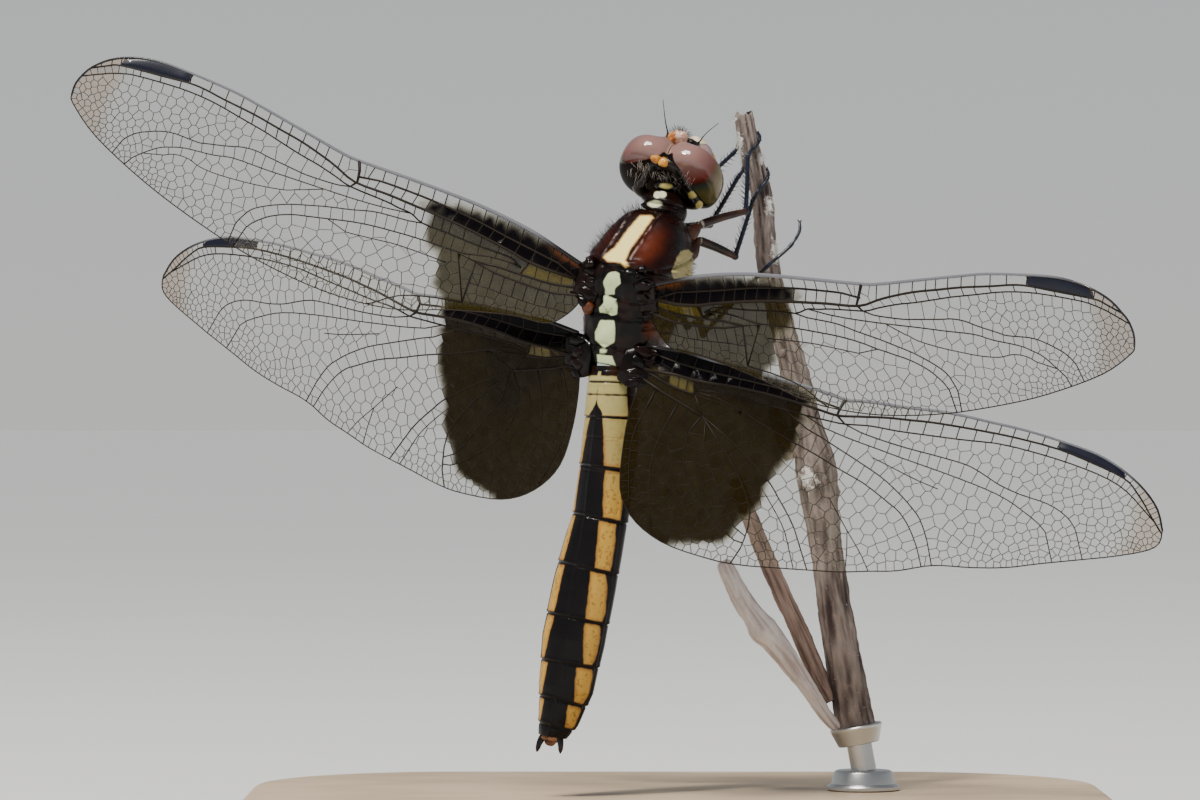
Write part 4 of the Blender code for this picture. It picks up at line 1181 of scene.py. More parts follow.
# ---- thorax ----
THORAX_RINGS = (   # ahead, top, bottom, half width
    (4.95, -0.75, -3.35, 1.35), (4.45, -0.02, -4.0, 2.0), (3.2, 1.10, -4.5, 2.7), (2.0, 2.15, -4.75, 3.1),
    (0.85, 3.15, -4.85, 3.3), (-0.2, 3.0, -4.8, 3.2), (-2.0, 2.55, -4.4, 3.1), (-3.8, 2.1, -3.7, 2.9),
    (-5.3, 1.75, -2.75, 2.5), (-6.35, 1.40, -1.75, 1.95))
MID_LINE = -0.25        # the dorsal midline lies this far to the left of the thorax frame's
FRONT_RIDGES = (   # on the front slope: height, distance from the midline, width
    (0.11, 1.06, 0.085), (0.05, 0.0, 0.06), (-0.05, 0.42, 0.16), (0.10, 1.9, 0.8))
BACK_PLATES = (   # on the back: height, distance from the midline, width across, place ahead, width ahead
    (0.22, 1.15, 0.55, -0.75, 0.75), (0.16, 0.0, 0.62, -0.35, 0.7), (0.18, 0.0, 0.5, -2.15, 0.5),
    (0.22, 1.05, 0.5, -3.3, 0.65), (0.20, 0.0, 0.55, -4.2, 0.75), (0.16, 1.9, 0.35, -2.2, 1.3))
BACK_SEAMS = (-1.62, -2.86, -5.05)
SIDE_SEAMS = (   # top and foot (ahead, above), and width
    ((0.75, 2.2), (2.75, -4.4), 0.10), ((-1.0, 1.7), (1.3, -4.5), 0.09), ((-3.4, 1.5), (-1.0, -4.2), 0.10))
UNMARKED = -9.0         # depth given to points that no marking can reach
# pale marks on the back, as outlines in the front frame (X, Y)
STRIPE = ((2.78, 13.04), (3.64, 13.09), (3.86, 12.82), (3.64, 12.60), (2.92, 11.56), (2.20, 10.57),
          (2.06, 10.26), (1.84, 9.77), (2.11, 9.32), (1.75, 9.18), (1.39, 9.54), (0.49, 9.63), (0.13, 9.99),
          (0.40, 10.30), (0.99, 10.75), (1.75, 11.83), (2.56, 12.82))
BACK_SPOTS = (
    ((0.99, 9.00), (1.35, 8.87), (1.44, 8.15), (1.03, 7.79), (0.99, 7.39), (0.36, 7.39), (0.36, 7.79),
     (0.20, 8.24), (0.58, 8.87)),
    ((0.27, 7.30), (1.26, 7.03), (1.17, 5.95), (0.76, 5.90), (0.58, 6.08), (0.0, 6.13), (-0.09, 6.44),
     (0.27, 6.80)),
    ((0.04, 5.59), (0.99, 5.59), (1.08, 4.74), (0.99, 4.02), (0.31, 3.66), (-0.32, 4.20), (-0.36, 4.74)),
    ((0.0, 3.57), (0.49, 3.57), (0.49, 3.30), (0.0, 3.30)),
    ((-0.23, 3.21), (0.85, 3.07), (1.12, 2.40), (-0.18, 2.67)),
)
SPOT_CREASES = (((0.58, 6.10), (1.20, 7.00)), ((0.58, 6.10), (0.20, 6.62)))
SIDE_PATCH = ((5.70, 10.48), (6.24, 10.62), (6.60, 10.31), (6.64, 9.23), (6.46, 8.6), (5.2, 8.4),
              (4.98, 8.96), (5.43, 10.04))


def bell(value, width):
    """A smooth bump of height 1 at value 0."""
    return np.exp(-(value / width) ** 2)


def wavy(points, scale, seed=0.0):
    """Smooth noise from -1 to 1 at each point."""
    return np.array([noise.noise((p[0] * scale + seed, p[1] * scale, p[2] * scale - seed)) for p in points])


def ringed(rings, sides, power, keel=None):
    """Rows of oval points (out, ahead, above) for rings of (ahead, top, bottom, half width)."""
    angle = steps_round(sides)
    c, s = np.cos(angle), np.sin(angle)
    shape = np.where(s > 0, keel or power, power)
    across = np.abs(c) ** (2 / shape) * np.sign(c)
    upright = np.abs(s) ** (2 / shape) * np.sign(s)
    ahead, top, low, half = (rings[:, k, None] for k in range(4))
    return np.stack([half * across, ahead + 0 * across, (top + low) / 2 + (top - low) / 2 * upright], -1)


def sheet_normals(grid):
    """Outward normals of a closed sheet of rows and columns of points."""
    along_rows = np.gradient(grid, axis=0)
    round_row = np.roll(grid, -1, 1) - np.roll(grid, 1, 1)
    normal = unit_rows(np.cross(round_row, along_rows))
    away = grid - grid.mean(1, keepdims=True)
    return normal * np.sign((normal * away).sum(-1).mean())


def inside_marks(outlines, points):
    """How far points are inside the nearest of some outlines in the front frame (X, Y)."""
    return np.max([signed_inside(np.array(o, float), points[:, :2]) for o in outlines], axis=0)


def thorax_relief(p):
    """Ridges, seams and plates of the thorax at points (out, ahead, above)."""
    out, ahead, above = p[..., 0] - MID_LINE, p[..., 1], p[..., 2]
    side = np.abs(out)
    front = part_way(ahead, 0.9, 0.4) * part_way(ahead, 4.8, -0.6) * (above > -1.6)
    back = part_way(ahead, 0.55, -0.2) * (above > 0.4)
    flank = part_way(side, 1.9, 0.6)
    h = front * sum(high * bell(side - place, width) for high, place, width in FRONT_RIDGES)
    crest = (above > 0) * part_way(side, 0, 0.35)
    h += crest * 0.20 * bell(ahead - 0.80 + 0.10 * np.sin(side * 3), 0.15)
    h -= crest * 0.16 * bell(ahead - 0.40, 0.14)
    for high, place, across, row, length in BACK_PLATES:
        h += back * high * bell(side - place, across) * bell(ahead - row, length)
    for seam in BACK_SEAMS:
        h -= back * 0.14 * bell(ahead - seam - 0.12 * np.cos(out * 2.2), 0.09)
    h -= back * 0.13 * bell(side - 0.78, 0.09) * (ahead > -5.4)
    for top, foot, width in SIDE_SEAMS:
        gap = distance_to(np.array((top, foot)), p[..., 1:].reshape(-1, 2)).reshape(out.shape)
        h -= flank * 0.16 * bell(gap, width) - flank * 0.05 * bell(gap - 0.28, 0.16)
    return h + 0.02 * wavy(p.reshape(-1, 3), 2.2).reshape(out.shape)


def thorax_sheet(steps=13, sides=168):
    rings = smooth_path(THORAX_RINGS, steps)
    grid = ringed(rings, sides, 2.7)
    return grid + sheet_normals(grid) * thorax_relief(grid)[..., None]


def build_thorax():
    grid = thorax_sheet()
    rows, sides = grid.shape[:2]
    local = grid.reshape(-1, 3)
    out, ahead, above = local.T
    p = THORAX.array(local)
    other = THORAX.array(local * (-1, 1, 1) + (2 * MID_LINE, 0, 0))
    top, side = above > -1.2, np.abs(out - MID_LINE)
    crease = np.min([distance_to(np.array(line), p[:, :2]) for line in SPOT_CREASES], axis=0)
    spots = np.minimum(inside_marks(BACK_SPOTS, p), crease - 0.035)
    patch = np.maximum(np.where(out > 0, inside_marks((SIDE_PATCH,), p), UNMARKED),
                       np.where(out < 0, inside_marks((SIDE_PATCH,), other), UNMARKED))
    red = bell(side - 1.75, 0.95) * bell(ahead - 2.3, 1.7) * (above > -3)
    # Painted shade: the left shoulder's red is cut to under half, darker on the side away from the light.
    red *= np.where(out < MID_LINE, 0.45, 1.0)
    flank = part_way(np.abs(out), 2.1, 0.5) * part_way(ahead, -4.4, 0.8)
    flank *= part_way(ahead, 0.6, -0.8) * part_way(above, -3.0, 1.5)
    stripe = inside_marks((STRIPE,), p) - 0.04
    skin = Stock()
    skin.add(p, closed_sheet(rows, sides), 0, stripe=np.where(top, stripe, UNMARKED), flank=flank,
             spots=np.where(top, spots, UNMARKED), patch=patch, red=np.clip(red, 0, 1),
             back=part_way(ahead, 0.7, -0.3) * top,
             # crest marks the two ridges beside the stripe, where the painted highlight runs
             crest=bell(side - 1.06, 0.05) * bell(ahead - 2.7, 1.3) * top)
    skin.piece("thorax_skin", [THORAX_SKIN], "thorax", ["thorax"])


def lump(centre, half, frame, rows=18, sides=26, relief=0.0, seed=0.0, lean=(0, 0, 0)):
    """A closed oval body in a frame: its points in the front frame, and faces."""
    ring = hoop(steps_round(sides), np.array((1, 0)), np.array((0, 1)))
    tiers = [np.column_stack([ring * cos(a), np.full(sides, sin(a))])
             for a in np.linspace(-pi / 2, pi / 2, rows + 1)[1:-1]]
    unit = np.concatenate([*tiers, [(0, 0, -1), (0, 0, 1)]])
    local = unit * half * (1 + relief * wavy(unit, 1.7, seed))[:, None]
    turned = np.array(Matrix.Rotation(lean[0], 3, "X") @ Matrix.Rotation(lean[1], 3, "Y")
                      @ Matrix.Rotation(lean[2], 3, "Z"))
    local = local @ turned.T + np.asarray(centre)
    faces = grid_faces(rows - 1, sides)
    last, low = (rows - 2) * sides, (rows - 1) * sides
    faces += [(low, (k + 1) % sides, k) for k in range(sides)]
    faces += [(low + 1, last + k, last + (k + 1) % sides) for k in range(sides)]
    return frame.array(local), faces


COLLAR_RINGS = (   # ahead, top, bottom, half width
    (5.02, -0.9, -3.1, 1.05), (5.25, -0.95, -3.4, 1.45), (5.5, -1.15, -3.3, 1.28), (5.72, -1.0, -3.45, 1.5),
    (6.0, -1.1, -3.4, 1.38), (6.25, -1.45, -3.4, 1.15), (6.5, -1.7, -3.3, 0.9))
COLLAR_OVALS = ((3.87, 13.84, 0.25, 0.52), (4.05, 14.50, 0.26, 1.0), (4.42, 14.52, 0.26, 1.0))


def oval_marks(ovals, points):
    """How far points are inside the nearest of some ovals: X, Y, half height and height over width."""
    return np.max([r - np.hypot((points[:, 0] - x) * f, points[:, 1] - y) for x, y, r, f in ovals], axis=0)


def build_prothorax():
    """A lobed collar with pale spots, and the thin neck ahead of it."""
    rings, sides = smooth_path(COLLAR_RINGS, 6), 72
    local = ringed(rings, sides, 2.3).reshape(-1, 3)
    local = local + 0.05 * wavy(local, 1.6)[:, None] * (1, 0, 1)
    p = THORAX.array(local)
    spots = np.where(local[:, 2] > -2.0, oval_marks(COLLAR_OVALS, p), -1)
    skin = Stock()
    skin.add(p, closed_sheet(len(rings), sides), 0, spots=spots)
    for way in (-1, 1):         # the dark sides that the front legs join
        side = lump((0.62 * way + 0.1, 5.2, -2.95), (0.85, 1.05, 1.15), THORAX, 30, 44, 0.08, way)
        skin.add(*side, 0, spots=-1.0)
    skin.piece("prothorax_skin", [COLLAR_SKIN], "prothorax", ["prothorax"])
    start, end = np.array(THORAX.front(0.08, 6.5, -2.75)), np.array(HEAD.front(0.14, -1.0, -0.95))
    line = np.array([start + (end - start) * t for t in np.linspace(0, 1, 15)])
    neck = Stock()
    neck.add(*tube(line, 0.50 + 0.04 * np.cos(np.arange(15) * 2.2), 20), 0)
    neck.piece("neck_skin", [NECK_SKIN], "neck", ["neck"])


HINGE_PLATES = (   # s, t, height, half sizes along each, turn
    (-0.70, 0.18, 0.22, 0.70, 0.36, 0.20, 0.10), (-0.85, 0.98, 0.20, 0.55, 0.40, 0.22, 0.45),
    (-0.75, 1.80, 0.14, 0.66, 0.40, 0.20, -0.30), (-0.15, 1.25, 0.05, 0.50, 0.24, 0.14, 0.10),
    (-0.70, 2.50, 0.08, 0.52, 0.32, 0.18, -0.50))
HINGE_RIBS = ((0.05, 0.17), (0.6, 0.12), (1.15, 0.15), (2.1, 0.11))       # t and radius
SHOULDERS = (((-0.70, 9.58, 1.75), 0.44), ((2.98, 9.10, 3.35), 0.34), ((2.62, 8.72, 3.25), 0.26))
RED_LOBES = (   # one between the two left wings and its twin under the right ones: centre, half sizes
    ((-0.84, 6.55, 1.35), (0.46, 0.52, 0.40)), ((4.9, 5.6, 0.9), (0.45, 0.60, 0.45)))
PALE_ARCS = (   # X, Y, Z, radius, and the angles between which each thin rim runs
    (-0.84, 6.58, 1.45, 0.54, -0.5, 1.3), (-0.92, 6.52, 1.40, 0.58, 3.1, 4.3),
    (-0.66, 9.58, 1.80, 0.52, -1.2, 0.5))


def on_wing(stand, points, faces):
    """Points in (s, t, height) laid on a wing, with faces turned outward."""
    points = np.asarray(points)
    mirrored = np.linalg.det(np.array((stand.span, stand.chord, stand.up))) < 0
    return stand(points[:, :2], points[:, 2]), turned_over(faces) if mirrored else faces


def hinge_sleeve(reach, rear, seed, rows=20, sides=44):
    """The body of a hinge from the thorax at s = reach out to the wing, in (s, t, height)."""
    angle = steps_round(sides)
    grid = []
    for share in np.linspace(0, 1, rows):
        s = np.full(sides, reach + (0.25 - reach) * share)
        half = (rear / 2 + 0.15) * (0.72 + 0.28 * sin(pi * min(share * 1.5, 1) / 2)) * (1 - 0.22 * share ** 3)
        t = rear / 2 - 0.15 - 0.25 * share ** 2 + half * np.cos(angle)
        lift = (0.50 * (1 - share) ** 1.3 + 0.13) * np.sin(angle) - 0.25 * (1 - share)
        lift += 0.10 * wavy(np.stack([t, s, np.sign(lift)], 1), 1.1, seed)
        grid.append(np.stack([s, t, lift], 1))
    return np.concatenate(grid), closed_sheet(rows, sides)


def build_hinges():
    """Plated joints between each wing and the thorax, and the stout roots of the main veins."""
    knobs = Stock()
    for name, (base, span, chord) in WINGS.items():
        stand = WingPlace(base, span, chord)
        hind = name.startswith("hind")
        reach, rear = (-1.9, 3.0) if hind else (-1.5, 2.7)
        knobs.add(*on_wing(stand, *hinge_sleeve(reach, rear, len(name))), 0)
        for i, (s, t, high, a, b, c, yaw) in enumerate(HINGE_PLATES):
            plate = lump((s, t, high), (a, b, c), FRONT, 16, 28, 0.22, i * 1.7 + len(name), (0, 0.12, yaw))
            knobs.add(*on_wing(stand, *plate), 0)
        for t, thick in HINGE_RIBS:
            ends = stand(np.array([(-1.2, t + 0.1), (-0.5, t + 0.05), (0.4, t)]), (0.15, 0.12, 0.0))
            knobs.add(*tube(ends, (thick * 1.2, thick, thick * 0.8), 8), 0)
    for k, (centre, r) in enumerate(SHOULDERS):
        knobs.add(*lump(centre, (r, r * 0.9, r), FRONT, 20, 28, 0.20, k * 2.0), 0)
    for centre, half in RED_LOBES:
        knobs.add(*lump(centre, half, FRONT, 24, 32, 0.12, centre[1]), 1)
    for x, y, z, r, first, last in PALE_ARCS:
        arc = [(x + r * cos(a), y + r * sin(a), z) for a in np.linspace(first, last, 12)]
        knobs.add(*tube(arc, 0.05 * np.sin(np.linspace(0.3, pi - 0.3, 12)), 8), 2)
    knobs.piece("wing_hinges", [HINGE_SHELL, PLAIN["hinge_flesh"], PLAIN["hinge_rim"]], "thorax")


# ---- abdomen ----
ABDOMEN_LINE = np.array((   # X, Y, half width, half height, roll in degrees
    (0.95, 2.05, 1.65, 1.45, 22), (0.90, 1.00, 1.80, 1.60, 22), (0.85, -1.30, 1.95, 1.65, 23),
    (0.68, -4.00, 2.10, 1.55, 27), (0.10, -8.10, 2.08, 1.45, 28), (-0.95, -12.70, 2.28, 1.50, 21),
    (-1.80, -16.90, 2.22, 1.48, 13), (-2.33, -20.30, 1.92, 1.34, 13), (-2.90, -22.60, 1.40, 1.08, 14),
    (-3.30, -23.70, 0.95, 0.85, 14)))
SEGMENT_Y = np.array((2.05, 1.25, -1.25, -4.80, -8.35, -11.85, -15.40, -18.55, -21.20, -23.00, -23.70))
JOINTS_Y = SEGMENT_Y[1:10]          # where one segment meets the next
ABDOMEN_CREASES = ((-2.68, 0.04), (-5.15, 0.03), (0.33, 0.05))     # Y and depth of the finer creases
PER_DEGREE = pi / 180 * 1.95        # mm round the abdomen for a degree off its midline
BLOCK_INNER = {2: 20, 3: 37, 4: 34, 5: 32, 6: 36, 7: 36, 8: 38}    # degrees off the midline, by segment
BLOCK_OUTER = {2: 76, 3: 80, 4: 71, 5: 66, 6: 72, 7: 76, 8: 76}
CERCI = (   # root, end and bow of each
    ((-3.86, -23.45, -0.12), (-4.45, -24.78, 0.05), -0.10),
    ((-2.90, -23.45, 0.38), (-2.80, -24.88, 0.60), 0.08))
TAIL_FLAPS = (   # centre and half sizes
    ((-3.36, -23.72, 0.05), (0.78, 0.32, 0.62)), ((-3.5, -24.02, 0.12), (0.42, 0.34, 0.3)),
    ((-3.38, -23.9, -0.32), (0.5, 0.35, 0.25)))


def taper(line, stops, radii):
    """Radii along a path, from the radii at some shares of its way."""
    return np.interp(np.linspace(0, 1, len(line)), stops, radii)


def abdomen_at(y):
    line = ABDOMEN_LINE[::-1]
    return [float(np.interp(y, line[:, 1], line[:, k])) for k in (0, 2, 3, 4)]


def abdomen_frame(y):
    x, _, _, roll = abdomen_at(y)
    ahead = Vector((abdomen_at(y + 1.2)[0] - abdomen_at(y - 1.2)[0], 2.4, 0)).normalized()
    right = (ahead.y * cos(radians(roll)), -ahead.x * cos(radians(roll)), sin(radians(roll)))
    return Frame((x, y, 0), right, ahead)


def between(value, low, high):
    return np.minimum(value - low, high - value)


def side_block(k, y, off):
    """Depth inside the pale block on each flank of segment k."""
    top, end = SEGMENT_Y[k], SEGMENT_Y[k + 1]
    share = part_way(y, top, end - top)
    inner = BLOCK_INNER[k] + (14 * share if k == 2 else (4 if k < 6 else 13) * share ** 2)
    outer = BLOCK_OUTER[k] + (9 * share if k == 5 else 0) - (8 if k > 4 else 2) * (2 * share - 1) ** 4
    block = np.minimum((off - inner) * PER_DEGREE, (outer - off) * PER_DEGREE)
    return np.minimum(block, between(y, end + 0.16, top - (0.05 if k == 2 else 0.14)))


def front_bands(y, off):
    """Depth inside the pale bands of the first three segments, which the midline parts."""
    band = between(y, 1.24, 1.68)
    notch = np.minimum(between(y, 1.5, 2.0), (5 - off) * PER_DEGREE)
    second = np.minimum(between(y, 0.42, 1.18), np.abs(off) * PER_DEGREE - 0.01)
    arrow = 19 * part_way(y, 0.05, -1.05) ** 1.5
    third = np.minimum(between(y, -1.12, 0.30), (off - arrow) * PER_DEGREE)
    return np.minimum(np.max([band, notch, second, third], axis=0), (74 - off) * PER_DEGREE)


def abdomen_marks(y, off):
    """Depth inside the pale marks at heights y and degrees off the midline."""
    blocks = [side_block(k, y, off) for k in BLOCK_INNER]
    return np.maximum(np.max([*blocks, front_bands(y, off)], axis=0), -1.0)


def abdomen_relief(y, off):
    """Height of the seams, keel, side ridges and swelling segments."""
    past = y - JOINTS_Y[np.argmin(np.abs(JOINTS_Y - y))]
    relief = -0.085 * bell(past, 0.055) + 0.035 * bell(past - 0.16, 0.09)
    relief += 0.07 * bell(off, 5) * part_way(y, 1.0, -2) + 0.07 * bell(off - 76, 3.5) * part_way(y, 0, -2)
    for crease, depth in ABDOMEN_CREASES:
        relief -= depth * bell(y - crease, 0.04)
    segment = int(np.clip(np.searchsorted(-SEGMENT_Y, -y) - 1, 0, 9))
    share = part_way(y, SEGMENT_Y[segment], SEGMENT_Y[segment + 1] - SEGMENT_Y[segment])
    return relief + (0.02 * sin(pi * share) + 0.045 * (share - 0.5) * (y < 1.0))


def abdomen_ring(y, sides):
    """One ring of the abdomen's skin, and the degrees of its points off the midline."""
    _, wide, high, _ = abdomen_at(y)
    turned = np.interp(y, (-20, -14, -10, -6, -1), (11, 8, 9, 16.5, 17))
    off = np.abs((np.degrees(steps_round(sides)) - 90 - turned + 180) % 360 - 180)
    ring = ringed(np.array([(0.0, high * 1.12, -high * 0.88, wide)]), sides, 2.2, 1.75)[0]
    ring = ring * (0.97 if y > SEGMENT_Y[0] else 1.0)
    ring = ring + unit_rows(ring) * abdomen_relief(y, off)[:, None]
    return abdomen_frame(y).array(ring), off


def build_abdomen():
    heights, sides = np.linspace(SEGMENT_Y[0] + 0.35, SEGMENT_Y[-1], 430), 128
    rings, off = (np.concatenate(rows) for rows in zip(*(abdomen_ring(y, sides) for y in heights)))
    y = np.repeat(heights, sides)
    seam = np.minimum(np.min(np.abs(JOINTS_Y[:, None] - y), axis=0), 1.0)
    skin = Stock()
    skin.add(rings, closed_sheet(len(heights), sides), 0, pale=abdomen_marks(y, off),
             tone=part_way(y, 1.0, -9.0), off=off / 90, seam=seam)
    skin.piece("abdomen_skin", [ABDOMEN_SKIN], "abdomen", [f"abdomen_{k}" for k in range(1, 11)])


def build_tail():
    cerci, flaps = Stock(), Stock()
    for root, end, bow in CERCI:
        line = smooth_path((root, (np.array(root) + end) / 2 + (bow, 0, 0.05), end), 8)
        cerci.add(*tube(line, taper(line, (0, 0.3, 0.75, 1), (0.20, 0.25, 0.17, 0.03)), 14), 0)
    cerci.piece("cerci_shell", [PLAIN["cercus_shell"]], "tail_tip", ["cercus_left", "cercus_right"])
    for k, (centre, half) in enumerate(TAIL_FLAPS):
        flaps.add(*lump(centre, half, FRONT, 16, 24, 0.10, k * 3.1), 0)
    flaps.piece("anal_flaps", [TAIL_FLESH], "tail_tip", ["anal_plate"])


# ---- head ----
# The black rear of each eye is its own colour; on the left eye it reaches further up, painted shade of the
# shadowed left side.
EYE_SIDES = ((-1, "left", 0.61, 1.37), (1, "right", 2.0, -0.05))     # side; slope and level of the pale rear
EYE_SEAM, EYE_REAR = 0.03, -0.25        # half the gap between the eyes, and where the rear starts to flatten
CAPSULE_HALF = (   # the right half of the capsule's outline, out and above
    (0.55, 1.72), (1.10, 1.30), (1.50, 0.55), (1.85, -0.15), (2.30, -0.95), (2.65, -1.65), (2.30, -2.30),
    (1.35, -2.50))
CAPSULE_MIDDLE = np.array((0.0, -0.45))
CAPSULE_RINGS = (   # ahead, and size against the outline; the last ones line the hollow rear
    (0.5, 0.93), (0.0, 1.0), (-0.55, 1.03), (-0.95, 1.02), (-1.17, 0.96), (-1.24, 0.86), (-1.18, 0.72),
    (-0.98, 0.58), (-0.78, 0.44), (-0.66, 0.28), (-0.62, 0.1))
CAPSULE_OVALS = ((6.55, 14.52, 0.24, 0.75), (7.10, 13.80, 0.30, 1.0))
CHIN_OVALS = ((4.68, 15.14, 0.20, 0.45),)
ORANGE_LOBES = ((-0.70, -0.88, 1.74), (-0.14, -0.98, 1.64))          # behind the seam of the eyes
FACE_LOOKS = ("vertex_pale", "vertex_orange", "frons_pale", "face_yellow", "face_brown", "ocellus",
              "head_shell", "frons_mauve")
FACE_FORMS = (   # centre, half sizes, finish, relief, tilt
    ((0.0, 1.85, 1.42), (0.66, 0.52, 0.60), "vertex_pale", 0.22, 0.0),        # vertex and its two bumps
    ((-0.34, 1.72, 1.50), (0.46, 0.44, 0.46), "vertex_orange", 0.18, 0.0),
    ((0.26, 1.85, 1.66), (0.38, 0.36, 0.38), "vertex_pale", 0.20, 0.0),
    ((0.62, 2.35, 0.62), (0.50, 0.32, 0.30), "head_shell", 0.15, 0.0),        # sockets of the feelers
    ((-0.80, 2.20, 0.80), (0.34, 0.30, 0.34), "head_shell", 0.15, 0.0),
    ((0.74, 2.88, -0.35), (0.95, 0.85, 0.80), "frons_pale", 0.10, 0.2),       # lobes of the frons
    ((-0.74, 2.88, -0.35), (0.95, 0.85, 0.80), "frons_pale", 0.10, 0.2),
    ((1.30, 2.60, -0.60), (0.85, 0.85, 0.80), "frons_mauve", 0.10, 0.0),      # its shoulders
    ((-1.30, 2.60, -0.60), (0.85, 0.85, 0.80), "frons_mauve", 0.10, 0.0),
    ((0.0, 2.40, -0.90), (2.42, 1.32, 1.12), "face_yellow", 0.05, 0.0),       # its front
    ((0.0, 3.05, -0.80), (1.50, 0.55, 0.50), "face_brown", 0.05, 0.0),        # clypeus
    ((0.0, 2.85, -1.60), (1.55, 0.70, 0.62), "face_yellow", 0.06, 0.0),       # labrum
    ((1.35, 2.05, -1.55), (0.75, 0.95, 0.80), "face_brown", 0.06, 0.0),       # mandible bases
    ((-1.35, 2.05, -1.55), (0.75, 0.95, 0.80), "face_brown", 0.06, 0.0),
    ((0.78, 1.70, -2.55), (0.88, 1.15, 0.52), "face_yellow", 0.05, 0.25),     # labium lobes
    ((-0.78, 1.70, -2.55), (0.88, 1.15, 0.52), "face_yellow", 0.05, 0.25),
    ((0.0, 0.55, -2.35), (1.10, 1.05, 0.55), "face_brown", 0.06, 0.35),       # chin
    ((0.0, 0.9, -1.1), (2.1, 1.6, 1.6), "face_brown", 0.03, 0.0),             # inner head
)
OCELLI = ((0.0, 2.28, 1.62, 0.17), (-0.58, 2.12, 1.15, 0.15), (0.58, 2.12, 1.15, 0.15))
FEELERS = {   # root and tip
    "left": ((-1.0, 2.20, 0.80), (-1.45, 2.75, 3.95)), "right": ((1.0, 2.50, 0.42), (1.95, 4.55, 0.95))}


def ease(value):
    """A smooth step from 0 to 1."""
    value = np.clip(value, 0, 1)
    return value * value * (3 - 2 * value)


def eye_shape(side, unit):
    """An eye's points for unit directions: fuller within, flat at the seam and flattened to the rear."""
    inward = np.clip(-side * unit[:, 0], 0, 1)
    p = unit * EYE * (1 + 0.17 * inward ** 2 * (1 - inward ** 6) * 2.0)[:, None]
    brow = ease((unit[:, 1] - 0.25) / 0.5) * ease((side * unit[:, 0] + 0.5) / 0.6)
    p *= 1 - 0.18 * (brow * ease((unit[:, 2] + 0.7) / 0.7))[:, None]
    p[:, 2] *= np.where(p[:, 2] < 0, 1.10, 1.0)
    p[:, 0] += side * (EYE_OUT - 0.13 * p[:, 2])
    p[:, 0] = side * np.maximum(side * p[:, 0], EYE_SEAM)
    rear = np.clip(EYE_REAR - p[:, 1], 0, None)
    p[:, 1] = np.where(rear > 0, EYE_REAR - 0.88 * (1 - np.exp(-rear / 0.72)), p[:, 1])
    return p


def build_eyes():
    """Two large compound eyes."""
    rows, sides = 150, 220
    up, around = np.linspace(-pi / 2, pi / 2, rows), steps_round(sides)
    unit = np.stack([np.outer(np.cos(up), np.cos(around)), np.outer(np.cos(up), np.sin(around)),
                     np.outer(np.sin(up), np.ones(sides))], -1).reshape(-1, 3)
    for side, word, slope, level in EYE_SIDES:
        p = eye_shape(side, unit)
        outer = side * p[:, 0] - EYE_OUT + 0.13 * p[:, 2]
        # back is the black rear: real colour, and on the left eye also painted shade.
        limit = (level - slope * outer - p[:, 2]) / sqrt(1 + slope * slope)
        back = np.clip((-p[:, 1] - 0.35) / 0.2, 0, 1) * np.clip(limit / 0.25 + 0.5, 0, 1)
        skin = Stock()
        skin.add(HEAD.array(p), grid_faces(rows, sides), 0, height=p[:, 2], back=back,
                 seam=part_way(side * p[:, 0], EYE_SEAM, 0.5), out=outer)
        skin.piece(f"eye_globe_{word}", [EYE_SKIN], "eye", [f"eye_{word}"])


def build_capsule():
    """The hollow-backed capsule behind the eyes, with its orange lobes and pale spots."""
    mirrored = [(-x, z) for x, z in CAPSULE_HALF[::-1]]
    rim = smooth_path([*CAPSULE_HALF, *mirrored], 8, closed=True)
    rings, sides = smooth_path(CAPSULE_RINGS, 6), len(rim)
    flat = [CAPSULE_MIDDLE + (rim - CAPSULE_MIDDLE) * size for _, size in rings]
    local = np.concatenate([np.stack([ring[:, 0], np.full(sides, y), ring[:, 1]], 1)
                            for ring, (y, _) in zip(flat, rings)])
    local[:, 1] += 0.035 * wavy(local, 1.6)
    p = HEAD.array(local)
    capsule = Stock()
    capsule.add(p, closed_sheet(len(rings), sides), 0,
                spots=np.where(local[:, 1] < -0.2, oval_marks(CAPSULE_OVALS, p), -1))
    for k, centre in enumerate(ORANGE_LOBES):
        lobe = lump(centre, (0.42, 0.38, 0.29), HEAD, 18, 30, 0.12, k, (0.25, 0, -0.32))
        capsule.add(*lobe, 1, spots=-1.0)
    points, faces = lump((0.05, -1.30, -0.40), (0.85, 0.45, 0.40), HEAD, 22, 34, 0.08, 4.0)
    capsule.add(points, faces, 0, spots=oval_marks(CHIN_OVALS, points))
    capsule.piece("head_capsule", [PLAIN["head_shell"], PLAIN["occiput_orange"]], "head", ["head"])


def build_face():
    face = Stock()
    for k, (centre, half, look, relief, tilt) in enumerate(FACE_FORMS):
        form = lump(centre, half, HEAD, 26, 38, relief, k * 2.3, (tilt, 0, 0))
        face.add(*form, FACE_LOOKS.index(look), spots=-1.0)
    for x, y, z, r in OCELLI:
        face.add(*lump((x, y, z), (r, r, r), HEAD, 12, 18), FACE_LOOKS.index("ocellus"), spots=-1.0)
    face.piece("face_plates", [PLAIN[look] for look in FACE_LOOKS], "head")


def build_feelers():
    for word, ends in FEELERS.items():
        root, tip = (np.array(HEAD.front(*end)) for end in ends)
        bend = (tip - root) * 0.45 + (-0.06, 0.08, 0.05)
        line = smooth_path((root, root + (tip - root) * 0.16, root + bend, tip), 10)
        radii = taper(line, (0, 0.08, 0.16, 0.24, 0.3, 1), (0.17, 0.15, 0.17, 0.10, 0.055, 0.018))
        feeler = Stock()
        feeler.add(*tube(line, radii, 10), 0)
        feeler.piece(f"feeler_{word}", [PLAIN["cercus_shell"]], "antenna", [f"antenna_{word}"])


